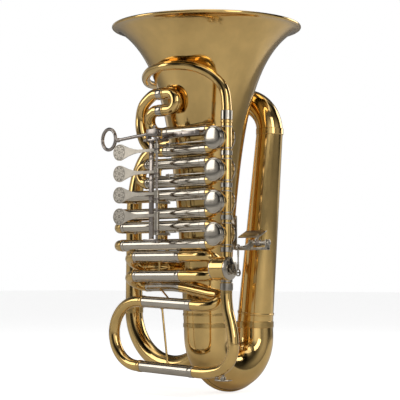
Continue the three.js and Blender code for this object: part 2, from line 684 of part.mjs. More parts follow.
function fifthCasing() {
  const shell = rod(onFifth(fifthLeft), onFifth(fifthRight), casingRadius, casingRadius, round.large);
  const boreEnd = fifthRight - plateThickness;
  const bore = rod(onFifth(fifthLeft - 1), onFifth(boreEnd), boreRadius, boreRadius, round.large);
  const hole = rod(onFifth(fifthLeft), onFifth(fifthRight + 1), clearOf(spindleRadius));
  const stub = (radius, extra) => rod(vec(fifthX, fifthPortY, fifthZ - fifthLowReach - extra),
    vec(fifthX, fifthPortY, fifthZ + fifthTopReach + extra), radius, radius, round.slide);
  return cut(join(shell, stub(knuckleRadius, 0)), bore, hole, stub(stubBore - 1, 1));
}

const fifthArmX = fifthRight + 6;
const fifthArmRadius = 11;
const fifthPinReach = fifthArmRadius * Math.SQRT1_2;
const fifthRodX = fifthArmX + 9;

function fifthRotor() {
  const inset = plateThickness + gap;
  const drum = rod(onFifth(fifthLeft + inset), onFifth(fifthRight - inset), rotorRadius, rotorRadius,
    round.middle);
  const scoops = [-12.5, 12.5].map((y) => rod(onFifth(fifthX, y, -30), onFifth(fifthX, y, 30), 8.4));
  const spindle = rod(onFifth(fifthLeft + 0.5), onFifth(fifthArmX + 3.5), spindleRadius);
  const hub = rod(onFifth(fifthArmX), onFifth(fifthArmX + 3.5), 8);
  const tip = rod(onFifth(fifthArmX, fifthPinReach, -fifthPinReach),
    onFifth(fifthArmX + 3.5, fifthPinReach, -fifthPinReach), 4);
  const pin = rod(onFifth(fifthArmX, fifthPinReach, -fifthPinReach),
    onFifth(fifthRodX + 2.5, fifthPinReach, -fifthPinReach), pinRadius);
  return join(cut(drum, ...scoops), spindle, hub, tip, pin);
}

function fifthCover(low, high, side) {
  const disc = rod(onFifth(low), onFifth(high), casingRadius - 1, casingRadius - 1, round.large);
  const hole = rod(onFifth(low - 1), onFifth(high + 1), clearOf(spindleRadius));
  if (side > 0) return cut(disc, hole);
  const bossRadius = boreRadius - gap;
  const boss = rod(onFifth(high - 1), onFifth(high + plateThickness), bossRadius, bossRadius, round.middle);
  const socket = rod(onFifth(high), onFifth(high + plateThickness + 1), clearOf(spindleRadius));
  return cut(join(disc, boss), socket);
}
add('valve_casing_5', asGeometry(fifthCasing()), brass);
add('rotor_5', asGeometry(fifthRotor()), nickel);
add('valve_cap_5', asGeometry(fifthCover(fifthRight + gap, fifthRight + 3.5, 1)), nickel);
add('valve_back_cover_5', asGeometry(fifthCover(fifthLeft - 3, fifthLeft - gap, -1)), nickel);

// ---- Front loop of the fifth valve ----
const loopTilt = THREE.MathUtils.degToRad(2.6); // both legs rise a little to the left
const loopHeading = vec(-Math.cos(loopTilt), 0, Math.sin(loopTilt));
const loopUp = vec(Math.sin(loopTilt), 0, Math.cos(loopTilt));
const loopSpan = 124;
const loopLegLength = 125;
const loopLowStart = vec(42, portY, 45);
const loopLowMouth = loopLowStart.clone().addScaledVector(loopHeading, loopLegLength);
const loopHighMouth = loopLowMouth.clone().addScaledVector(loopUp, loopSpan);
const loopHighStart = loopHighMouth.clone().addScaledVector(loopHeading, -107);
add('loop_slide', asGeometry(slideBody([loopLowMouth, loopHighMouth], loopHeading, 14, 50)), brass);

const fifthFoot = vec(fifthX, portY, fifthZ - fifthLowReach - gap);
const loopCurve = through(
  fifthFoot,
  vec(fifthX, portY, fifthZ - 55),
  vec(fifthX + 3, portY, fifthZ - 78),
  vec(fifthX + 10, portY, fifthZ - 102),
  vec(fifthX + 15, portY, fifthZ - 127),
  vec(fifthX + 15, portY, fifthZ - 149),
  vec(fifthX + 7, portY, fifthZ - 170),
  vec(fifthX - 11, portY, fifthZ - 185),
  vec(fifthX - 33, portY, fifthZ - 191),
  loopLowStart.clone().addScaledVector(loopHeading, -24),
  loopLowStart,
);
const loopRoute = route(loopCurve, line(loopLowStart, loopLowMouth));
const loopDown = solid(evenTube(loopRoute, slideRadius, slideOptions));
const loopFerrule = solid(pipe(fifthFoot, vec(fifthX, portY, fifthFoot.z - 14), slideRadius + 1.2, 1.6));

// The water key's nipple and post stand under the lowest bend.
const nippleX = fifthX - 23;
const keyPivot = vec(nippleX + 15, portY, 35.5);
const nipple = rod(vec(nippleX, portY, 39.5), vec(nippleX, portY, 35), 3);
const keyPost = block(vec(keyPivot.x - 2, portY - 2, keyPivot.z - 2), vec(keyPivot.x + 2, portY + 2, 45));
const keyPin = rod(keyPivot.clone().add(vec(0, -6, 0)), keyPivot.clone().add(vec(0, 6, 0)), 1.1);

// From the loop's upper leg a tube turns back and rises to the lower row's back leg.
const inFrontOfBell = -(bellRadiusAt(mainLowZ) + slideRadius + 4);
const returnCurve = through(
  loopHighStart,
  loopHighStart.clone().addScaledVector(loopHeading, -40),
  vec(loopHighStart.x + 58, portY + 5, loopHighStart.z + 1),
  vec(loopHighStart.x + 64, portY + 15, loopHighStart.z + 9),
  vec(loopHighStart.x + 56, inFrontOfBell - 2, loopHighStart.z + 17),
  vec(loopHighStart.x + 30, inFrontOfBell, loopHighStart.z + 21),
  vec(-10, inFrontOfBell + 1, mainLowZ - mainDrop - 2),
  vec(-38, mainBackY - 3, mainLowZ - mainDrop),
  mainBackAt(-58, mainLowZ),
  mainBackAt(-62, mainLowZ),
);
const upperRoute = route(line(loopHighMouth, loopHighStart), returnCurve,
  line(mainBackAt(-62, mainLowZ), mainBackAt(mainMouth, mainLowZ)));
const loopUpper = solid(evenTube(upperRoute, slideRadius, slideOptions));
// Braces: a long one between the loop's legs, a slanted one up to the lower row's back leg.
function loopBrace(from, to, inset, radius) {
  const axis = to.clone().sub(from).normalize();
  return rod(from.clone().addScaledVector(axis, inset), to.clone().addScaledVector(axis, -inset), radius);
}
const alongHigh = (distance) => loopHighMouth.clone().addScaledVector(loopHeading, -distance);
const alongLow = (distance) => loopLowMouth.clone().addScaledVector(loopHeading, -distance);
const braces = [loopBrace(alongLow(65), alongHigh(43), slideRadius - 0.5, 2.2),
  loopBrace(mainBackAt(-76, mainLowZ), alongHigh(71), 17.5, 2)];
const loopTubes = join(loopDown, loopFerrule, loopUpper, ...braces, nipple, keyPost, keyPin);
add('loop_tubes', asGeometry(loopTubes), brass);

// ---- Water key ----
function waterKeyBody() {
  const bar = block(vec(nippleX - 5, portY - 4.4, 31), vec(keyPivot.x + 18, portY + 4.4, 32.6));
  const pad = rod(vec(nippleX, portY, 32), vec(nippleX, portY, 34.6), 4.2);
  const cheeks = [portY - 3.4, portY + 3.4].map((y) => block(
    vec(keyPivot.x - 3.5, y - 1, 31.5), vec(keyPivot.x + 3.5, y + 1, 38.5)));
  const hole = rod(keyPivot.clone().add(vec(0, -9, 0)), keyPivot.clone().add(vec(0, 9, 0)), clearOf(1.1));
  return cut(join(bar, pad, ...cheeks), hole);
}
add('water_key', asGeometry(waterKeyBody()), nickel);

// ---- Levers of the four front valves ----
const linkY = valveFrontY - stopArmReach;
const axleY = linkY - crankLength;
const linkZs = valveZs.map((z, i) => z + armSigns[i] * linkOffset);
const paddleZs = valveZs.map((_, i) => paddleTopZ - i * paddleSpacing);
const crankTop = 2.5; // the crank's top face lies this far below its link rod's centre
const crankDepth = 4;
const axleTopZ = valveTopZ - 3;
const axleLowZ = linkZs.at(-1) - 14;

// A round finger plate that tapers into its arm, cut from sheet.
function paddlePlate(z) {
  const lean = THREE.MathUtils.degToRad(70);
  const outline = new THREE.Shape();
  outline.absarc(paddleX, 0, paddleRadius, lean, 2 * Math.PI - lean, false);
  outline.lineTo(paddleX + 46, -3);
  outline.lineTo(axleX, -3);
  outline.lineTo(axleX, 3);
  outline.lineTo(paddleX + 46, 3);
  const settings = { depth: paddleThickness, bevelEnabled: false, curveSegments: 8 };
  const geometry = new THREE.ExtrudeGeometry(outline, settings);
  geometry.rotateX(Math.PI / 2).translate(0, axleY - 1, z);
  return solid(geometry);
}

function leverBody(linkZ, paddleZ) {
  const low = Math.min(linkZ - crankTop - crankDepth, paddleZ - 6);
  const high = Math.max(linkZ - crankTop, paddleZ + 6);
  const hub = rod(vec(axleX, axleY, low), vec(axleX, axleY, high), hubRadius);
  const crank = block(vec(axleX - 2.6, axleY, linkZ - crankTop - crankDepth), vec(axleX + 2.6, linkY,
    linkZ - crankTop));
  const end = rod(vec(axleX, linkY, linkZ - crankTop - crankDepth), vec(axleX, linkY, linkZ - crankTop), 3.4);
  const pin = rod(vec(axleX, linkY, linkZ - crankTop - 1), vec(axleX, linkY, linkZ + 2.5), pinRadius);
  const hole = rod(vec(axleX, axleY, low - 1), vec(axleX, axleY, high + 1), clearOf(axleRadius));
  return cut(join(hub, crank, end, pin, paddlePlate(paddleZ)), hole);
}

// A thin rod with an eye at each end, loose enough for the pins' swing.
function linkRodBody(from, to, fromAxis, toAxis, fromHole, toHole) {
  const along = to.clone().sub(from).normalize();
  const wall = 1.7;
  const eye = (centre, axis, radius) => rod(centre.clone().addScaledVector(axis, -1.5),
    centre.clone().addScaledVector(axis, 1.5), radius);
  const barStart = from.clone().addScaledVector(along, fromHole + 0.4);
  const barEnd = to.clone().addScaledVector(along, -toHole - 0.4);
  const bar = rod(barStart, barEnd, 1.4, 1.4, 6);
  const holes = [[from, fromAxis, fromHole], [to, toAxis, toHole]].map(([centre, axis, radius]) => rod(
    centre.clone().addScaledVector(axis, -2), centre.clone().addScaledVector(axis, 2), clearOf(radius, 0)));
  const body = join(eye(from, fromAxis, fromHole + wall), eye(to, toAxis, toHole + wall), bar);
  return cut(body, ...holes);
}

const xAxis = vec(1, 0, 0);
const yAxis = vec(0, 1, 0);
const zAxis = vec(0, 0, 1);
linkZs.forEach((linkZ, i) => {
  add(`lever_${i + 1}`, asGeometry(leverBody(linkZ, paddleZs[i])), nickel);
  const from = vec(axleX, linkY, linkZ);
  const to = vec(valveX - linkOffset, linkY, linkZ);
  add(`link_rod_${i + 1}`, asGeometry(linkRodBody(from, to, zAxis, yAxis, 4, 4.4)), nickel);
});

const axle = join(
  rod(vec(axleX, axleY, axleLowZ - 8), vec(axleX, axleY, axleTopZ + 7.5), axleRadius),
  rod(vec(axleX, axleY, axleTopZ + 4.3), vec(axleX, axleY, axleTopZ + 7.5), hubRadius),
  rod(vec(axleX, axleY, axleLowZ - 8), vec(axleX, axleY, axleLowZ - 4.3), hubRadius),
);
add('lever_axle', asGeometry(axle), darkNickel);

// ---- Frame that carries the lever axle and clamps the thumb ring ----
const ringCentre = vec(-122, axleY, valveTopZ + 7);
const ringRodStart = vec(ringCentre.x + ringRadius, axleY, valveTopZ + 3.8);
const ringRodEnd = vec(10, axleY, valveTopZ + 14.6);
const ringRodRadius = 3.2;
const ringRodAxis = ringRodEnd.clone().sub(ringRodStart).normalize();

function leverFrame() {
  const railX = axleX - 25;
  const railY = axleY + 13.5;
  const left = railX - 5;
  const clampLeft = axleX - 22;
  const rail = block(vec(left, railY - 2, axleLowZ - 4), vec(railX + 5, railY + 2, axleTopZ + 4));
  const upperPlate = block(vec(left, axleY - 5, axleTopZ), vec(axleX + 6, linkY - 8, axleTopZ + 4));
  const lowerPlate = block(vec(left, axleY - 5, axleLowZ - 4), vec(axleX + 6, railY + 3, axleLowZ));
  const barEnd = valveX - casingRadius - 2;
  const bar = block(vec(axleX - 6, linkY - 12, axleTopZ), vec(barEnd, linkY - 8, axleTopZ + 17));
  const barCut = block(vec(axleX + 6, linkY - 14, axleTopZ - 1), vec(valveX, linkY - 6, axleTopZ + 8));
  const tubeFront = portY - slideRadius - gap;
  const feet = [40, 74].map((x) => rod(vec(x, linkY - 9, v1UpperZ - 4), vec(x, tubeFront, v1UpperZ - 4), 3));
  const lowerFoot = rod(vec(axleX - 8, railY, axleLowZ - 2), vec(axleX - 8, tubeFront, axleLowZ - 4), 2.6);
  const wall = block(vec(clampLeft, axleY - 5, axleTopZ), vec(clampLeft + 4, axleY + 6, axleTopZ + 23));
  const clamp = block(vec(clampLeft, axleY - 6, axleTopZ + 9), vec(axleX + 6, axleY + 6, axleTopZ + 23));
  const screw = rod(vec(axleX - 6, axleY, axleTopZ + 22), vec(axleX - 6, axleY, axleTopZ + 30), 3.6);
  const bore = rod(ringRodStart, ringRodEnd.clone().addScaledVector(ringRodAxis, 10), clearOf(ringRodRadius));
  const hole = rod(vec(axleX, axleY, axleLowZ - 9), vec(axleX, axleY, axleTopZ + 8.5), clearOf(axleRadius));
  const body = join(rail, upperPlate, lowerPlate, cut(bar, barCut), ...feet, lowerFoot, wall, clamp, screw);
  return cut(body, bore, hole);
}
add('lever_frame', asGeometry(leverFrame()), darkNickel);

function thumbRing() {
  const torus = new THREE.TorusGeometry(ringRadius, ringWire, 8, 20);
  torus.rotateX(Math.PI / 2).rotateZ(THREE.MathUtils.degToRad(-9)).translate(...ringCentre.toArray());
  return join(solid(torus), rod(ringRodStart, ringRodEnd, ringRodRadius));
}
add('thumb_ring', asGeometry(thumbRing()), darkNickel);

// ---- Fifth lever, on a bracket beside the fourth rotor ----
const fifthPinY = fifthY + fifthPinReach;
const fifthTipZ = fifthZ + 39;
const hingeY = fifthPinY + 28;
const hingeZ = fifthTipZ + fifthPinReach;
const barrelLow = fifthRodX + 9.3;
const barrelHigh = barrelLow + 34;
const hingePinRadius = 2.4;

function fifthLeverBody() {
  const barrel = rod(vec(barrelLow, hingeY, hingeZ), vec(barrelHigh, hingeY, hingeZ), 5);
  const tipAt = (x) => vec(x, fifthPinY, fifthTipZ);
  const hingeAt = (x) => vec(x, hingeY, hingeZ);
  const arm = rod(hingeAt(barrelLow + 3), tipAt(barrelLow), 2.6);
  const pin = rod(tipAt(barrelLow + 2), tipAt(fifthRodX - 2.5), pinRadius);
  const plate = new THREE.BoxGeometry(48, 29, 3).rotateX(THREE.MathUtils.degToRad(25));
  plate.translate(barrelLow - 14, hingeY + 21, hingeZ + 17);
  const stem = rod(vec(barrelLow + 5, hingeY, hingeZ), vec(barrelLow + 3, hingeY + 16, hingeZ + 15), 3.4);
  const bore = rod(hingeAt(barrelLow - 1), hingeAt(barrelHigh + 1), clearOf(hingePinRadius));
  return cut(join(barrel, arm, pin, solid(plate), stem), bore);
}
add('lever_5', asGeometry(fifthLeverBody()), nickel);

function fifthBracket() {
  const plateY = valveBackY + 9;
  const earLeft = barrelLow - 4.3;
  const earRight = barrelHigh + 0.3;
  const ear = (x) => block(vec(x, hingeY - 6, hingeZ - 13), vec(x + 4, hingeY + 6, hingeZ + 6));
  const plate = block(vec(fifthX - 4, plateY - 3, hingeZ - 12), vec(fifthX + 8, plateY, hingeZ + 51));
  const arm = block(vec(fifthX + 4, hingeY - 5, hingeZ - 13), vec(earLeft + 2, hingeY + 1, hingeZ - 6));
  const spine = block(vec(earLeft, hingeY - 4, hingeZ - 13), vec(earRight + 4, hingeY + 4, hingeZ - 8));
  const pin = rod(vec(earLeft, hingeY, hingeZ), vec(earRight + 6, hingeY, hingeZ), hingePinRadius);
  const head = rod(vec(earRight + 3, hingeY, hingeZ), vec(earRight + 7, hingeY, hingeZ), 5);
  return join(plate, arm, spine, ear(earLeft), ear(earRight), pin, head);
}
add('lever_5_bracket', asGeometry(fifthBracket()), nickel);
const rodLow = vec(fifthRodX, fifthPinY, fifthZ - fifthPinReach);
const rodHigh = vec(fifthRodX, fifthPinY, fifthTipZ);
add('link_rod_5', asGeometry(linkRodBody(rodLow, rodHigh, xAxis, xAxis, 5, 3.4)), nickel);

export default tuba;
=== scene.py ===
import math

import bmesh
import bpy
from bpy.props import FloatProperty, FloatVectorProperty, IntProperty, PointerProperty
from mathutils import Matrix, Quaternion, Vector


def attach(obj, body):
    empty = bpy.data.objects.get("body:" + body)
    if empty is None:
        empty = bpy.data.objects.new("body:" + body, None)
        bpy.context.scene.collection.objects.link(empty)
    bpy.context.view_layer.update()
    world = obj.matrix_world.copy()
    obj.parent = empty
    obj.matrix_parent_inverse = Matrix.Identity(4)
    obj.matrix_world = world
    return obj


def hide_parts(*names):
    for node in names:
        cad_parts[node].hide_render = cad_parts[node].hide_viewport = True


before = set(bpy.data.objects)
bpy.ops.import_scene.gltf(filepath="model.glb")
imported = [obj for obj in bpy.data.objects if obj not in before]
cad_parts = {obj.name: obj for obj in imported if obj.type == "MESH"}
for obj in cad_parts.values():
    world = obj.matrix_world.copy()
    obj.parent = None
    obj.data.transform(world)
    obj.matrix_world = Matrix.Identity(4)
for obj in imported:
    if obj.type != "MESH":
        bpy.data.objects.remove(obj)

bl_info = {
    "name": "Rotary tuba",
    "version": (1, 0, 0),
    "blender": (4, 5, 0),
    "location": "View3D > Sidebar > Tuba",
    "description": "Builds a compact rotary tuba piece by piece over its packed frame",
    "category": "Object",
}

# ---- Sizes shared by the pieces, in millimetres ----
MM = 0.001
GAP = 0.3
BELL_RADIUS = 185
BELL_TOP = 712
BELL_FLARE = 70
BELL_THROAT = 44
BELL_WALL = 1.6
BEAD = 3.2
BOW_JOINT = 127
BOW_RADIUS = 65
BOW_STRAIGHT = 22
BOW_END = 36
BOW_TURN = math.radians(81)
TUBE_WALL = 1.2
TOP_BOW_Z = 510
TOP_BOW_SPAN = 130
BRANCH_TOP = 26
TOP_BOW_END = 23
REAR_LEG_END = 21
LOWER_BOW_RADIUS = 111
LOWER_BOW_Z = 153
LEFT_BRANCH = 18
LEFT_BRANCH_TOP = 14.5
SLIDE = 10.8
SLIDE_WALL = 0.8
LEG = 9.6
VALVE_X = 108
VALVE_FRONT = -107
VALVE_BACK = -80
PORT_Y = -93.5
VALVE_Z = (479, 419.5, 360, 300.5)
CASING = 22
CASING_BORE = 19.1
PORT = 17.5
KNUCKLE_X = VALVE_X + 15
KNUCKLE = 10
KNUCKLE_REACH = 26.25
STUB_END = 73.5
ARM_SIGNS = (-1, -1, 1, 1)
LINK = 8.2 * math.sqrt(0.5)
LINK_Y = VALVE_FRONT - 6.6
CRANK = 34
AXLE_Y = LINK_Y - CRANK
AXLE = 2.4
HUB = 5.6
PADDLE_Z = (459, 418.2, 377.4, 336.6)
PADDLE_X = -92
PADDLE = 16
FIFTH_X = KNUCKLE_X
FIFTH_Y = -105
FIFTH_Z = 237
FIFTH_LEFT = FIFTH_X - 15
FIFTH_RIGHT = FIFTH_X + 15
ROW_BACK = PORT_Y + 34
MAIN_BACK = PORT_Y + 38
MAIN_DROP = 19
MAIN_MOUTH = -101
SECOND_MOUTH = -69
ROW_MOUTH = -132
MAIN_TOP = 261
MAIN_LOW = 224

CAMERA_DISTANCE = 2800
CAMERA_HEIGHT = 216
CAMERA_TURN = math.radians(39)
CAMERA_PAN = math.radians(0.2586)
CAMERA_PITCH = math.radians(3.1798)
CAMERA_LENS = 129.6
FLOOR_DROP = 4
FLOOR_GLOW = 0.76


def vec(x, y, z):
    return Vector((x, y, z))


def mix(a, b, t):
    return a + (b - a) * t


# ---- Paths ----
def line(start, end, steps=2):
    return [start.lerp(end, i / steps) for i in range(steps + 1)]


def spline(*knots, step=3.0):
    """A centripetal Catmull-Rom curve through the knots."""
    knots = [Vector(k) for k in knots]
    first = knots[0] * 2 - knots[1]
    last = knots[-1] * 2 - knots[-2]
    run = [first, *knots, last]
    points = [knots[0].copy()]
    for p0, p1, p2, p3 in zip(run, run[1:], run[2:], run[3:]):
        d0, d1, d2 = (math.sqrt(max((b - a).length, 1e-6)) for a, b in ((p0, p1), (p1, p2), (p2, p3)))
        m1 = ((p1 - p0) / d0 - (p2 - p0) / (d0 + d1) + (p2 - p1) / d1) * d1
        m2 = ((p2 - p1) / d1 - (p3 - p1) / (d1 + d2) + (p3 - p2) / d2) * d1
        count = max(2, round((p2 - p1).length / step))
        for i in range(1, count + 1):
            t = i / count
            points.append(p1 * (2 * t**3 - 3 * t**2 + 1) + m1 * (t**3 - 2 * t**2 + t)
                          + p2 * (3 * t**2 - 2 * t**3) + m2 * (t**3 - t**2))
    return points


def half_turn(start, end, heading, straight=0.0, count=28):
    """A half circle between two points, open towards them, with straight ends."""
    middle = start.lerp(end, 0.5)
    side = start - middle
    heading = heading.normalized()
    points = [start.copy()] if straight else []
    for i in range(count + 1):
        angle = math.pi * i / count
        points.append(middle + side * math.cos(angle) + heading * (side.length * math.sin(angle) + straight))
    return [*points, end.copy()] if straight else points


def chain(*paths):
    """Paths joined end to end, without doubled points."""
    points = []
    for path in paths:
        for point in path:
            if not points or (point - points[-1]).length > 0.05:
                points.append(point.copy())
    return points


def marks(path):
    """Length along the path at each of its points."""
    total = [0.0]
    for a, b in zip(path, path[1:]):
        total.append(total[-1] + (b - a).length)
    return total


def part(path, start, end, extra=()):
    """The stretch of a path between two lengths along it, with points at extra lengths too."""
    total = marks(path)
    stops = sorted({start, end, *extra, *(m for m in total if start < m < end)})
    points = []
    for stop in stops:
        i = next((k for k in range(1, len(total)) if total[k] >= stop - 1e-6), len(total) - 1)
        share = (stop - total[i - 1]) / max(total[i] - total[i - 1], 1e-9)
        points.append(path[i - 1].lerp(path[i], share))
    return points, [stop - start for stop in stops]


# ---- The swept tube, built once as a node tree ----
def tube_tree():
    """Sweeps a circle along every run of edges, as wide at each point as its reach attribute."""
    tree = bpy.data.node_groups.get("Swept tube")
    if tree:
        return tree
    tree = bpy.data.node_groups.new("Swept tube", "GeometryNodeTree")
    face = tree.interface
    face.new_socket("Geometry", in_out="INPUT", socket_type="NodeSocketGeometry")
    sides = face.new_socket("Sides", in_out="INPUT", socket_type="NodeSocketInt")
    sides.default_value = 32
    face.new_socket("Closed ends", in_out="INPUT", socket_type="NodeSocketBool")
    face.new_socket("Finish", in_out="INPUT", socket_type="NodeSocketMaterial")
    face.new_socket("Geometry", in_out="OUTPUT", socket_type="NodeSocketGeometry")
    new = tree.nodes.new
    given = new("NodeGroupInput")
    runs = new("GeometryNodeMeshToCurve")
    reach = new("GeometryNodeInputNamedAttribute")
    reach.data_type = "FLOAT"
    reach.inputs["Name"].default_value = "reach"
    widen = new("GeometryNodeSetCurveRadius")
    circle = new("GeometryNodeCurvePrimitiveCircle")
    circle.inputs["Radius"].default_value = 1.0
    sweep = new("GeometryNodeCurveToMesh")
    real = new("GeometryNodeRealizeInstances")
    paint = new("GeometryNodeSetMaterial")
    result = new("NodeGroupOutput")
    link = tree.links.new
    link(given.outputs["Geometry"], runs.inputs["Mesh"])
    link(runs.outputs["Curve"], widen.inputs["Curve"])
    link(reach.outputs["Attribute"], widen.inputs["Radius"])
    link(widen.outputs["Curve"], sweep.inputs["Curve"])
    link(given.outputs["Sides"], circle.inputs["Resolution"])
    link(circle.outputs["Curve"], sweep.inputs["Profile Curve"])
    link(given.outputs["Closed ends"], sweep.inputs["Fill Caps"])
    if "Scale" in sweep.inputs:
        link(reach.outputs["Attribute"], sweep.inputs["Scale"])
    link(sweep.outputs["Mesh"], real.inputs["Geometry"])
    link(real.outputs["Geometry"], paint.inputs["Geometry"])
    link(given.outputs["Finish"], paint.inputs["Material"])
    link(paint.outputs["Geometry"], result.inputs["Geometry"])
    return tree


def rib_tree():
    """Stands a block at every vertex, turned along its normal: the ribs of a knurled edge."""
    tree = bpy.data.node_groups.get("Knurled ribs")
    if tree:
        return tree
    tree = bpy.data.node_groups.new("Knurled ribs", "GeometryNodeTree")
    face = tree.interface
    face.new_socket("Geometry", in_out="INPUT", socket_type="NodeSocketGeometry")
    size = face.new_socket("Rib size", in_out="INPUT", socket_type="NodeSocketVector")
    size.default_value = (0.001, 0.001, 0.001)
    face.new_socket("Finish", in_out="INPUT", socket_type="NodeSocketMaterial")
    face.new_socket("Geometry", in_out="OUTPUT", socket_type="NodeSocketGeometry")
    new = tree.nodes.new
    given = new("NodeGroupInput")
    rib = new("GeometryNodeMeshCube")
    outward = new("GeometryNodeInputNamedAttribute")
    outward.data_type = "FLOAT_VECTOR"
    outward.inputs["Name"].default_value = "outward"
    turn = new("FunctionNodeAlignRotationToVector")
    turn.axis = "Z"
    place = new("GeometryNodeInstanceOnPoints")
    real = new("GeometryNodeRealizeInstances")
    paint = new("GeometryNodeSetMaterial")
    result = new("NodeGroupOutput")
    link = tree.links.new
    link(given.outputs["Geometry"], place.inputs["Points"])
    link(given.outputs["Rib size"], rib.inputs["Size"])
    link(rib.outputs["Mesh"], place.inputs["Instance"])
    link(outward.outputs["Attribute"], turn.inputs["Vector"])
    link(turn.outputs["Rotation"], place.inputs["Rotation"])
    link(place.outputs["Instances"], real.inputs["Geometry"])
    link(real.outputs["Geometry"], paint.inputs["Geometry"])
    link(given.outputs["Finish"], paint.inputs["Material"])
    link(paint.outputs["Geometry"], result.inputs["Geometry"])
    return tree


def socket_of(tree, name):
    return next(s.identifier for s in tree.interface.items_tree
                if s.name == name and s.in_out == "INPUT" and s.socket_type != "NodeSocketGeometry")


def plain_mesh(holder):
    """The holder's evaluated shape as a plain mesh; the holder goes."""
    view = bpy.context.evaluated_depsgraph_get()
    mesh = bpy.data.meshes.new_from_object(holder.evaluated_get(view))
    source = holder.data
    bpy.data.objects.remove(holder)
    bpy.data.meshes.remove(source)
    return mesh


def holder_of(mesh, name="holder"):
    holder = bpy.data.objects.new(name, mesh)
    bpy.context.scene.collection.objects.link(holder)
    return holder


def swept(runs, finish, wall, sides):
    """A mesh of tubes: each run is (points, radii) in millimetres. A wall of 0 makes them solid."""
    corners, edges, reaches = [], [], []
    for points, radii in runs:
        edges += [(len(corners) + i, len(corners) + i + 1) for i in range(len(points) - 1)]
        corners += [p * MM for p in points]
        reaches += [r * MM for r in radii]
    mesh = bpy.data.meshes.new("runs")
    mesh.from_pydata(corners, edges, [])
    mesh.attributes.new("reach", "FLOAT", "POINT").data.foreach_set("value", reaches)
    holder = holder_of(mesh)
    tree = tube_tree()
    sweep = holder.modifiers.new("Sweep", "NODES")
    sweep.node_group = tree
    sweep[socket_of(tree, "Sides")] = sides
    sweep[socket_of(tree, "Closed ends")] = wall == 0
    sweep[socket_of(tree, "Finish")] = finish
    if wall:
        shell = holder.modifiers.new("Wall", "SOLIDIFY")
        shell.thickness = wall * MM
        shell.offset = -1
        shell.use_rim = True
    return plain_mesh(holder)


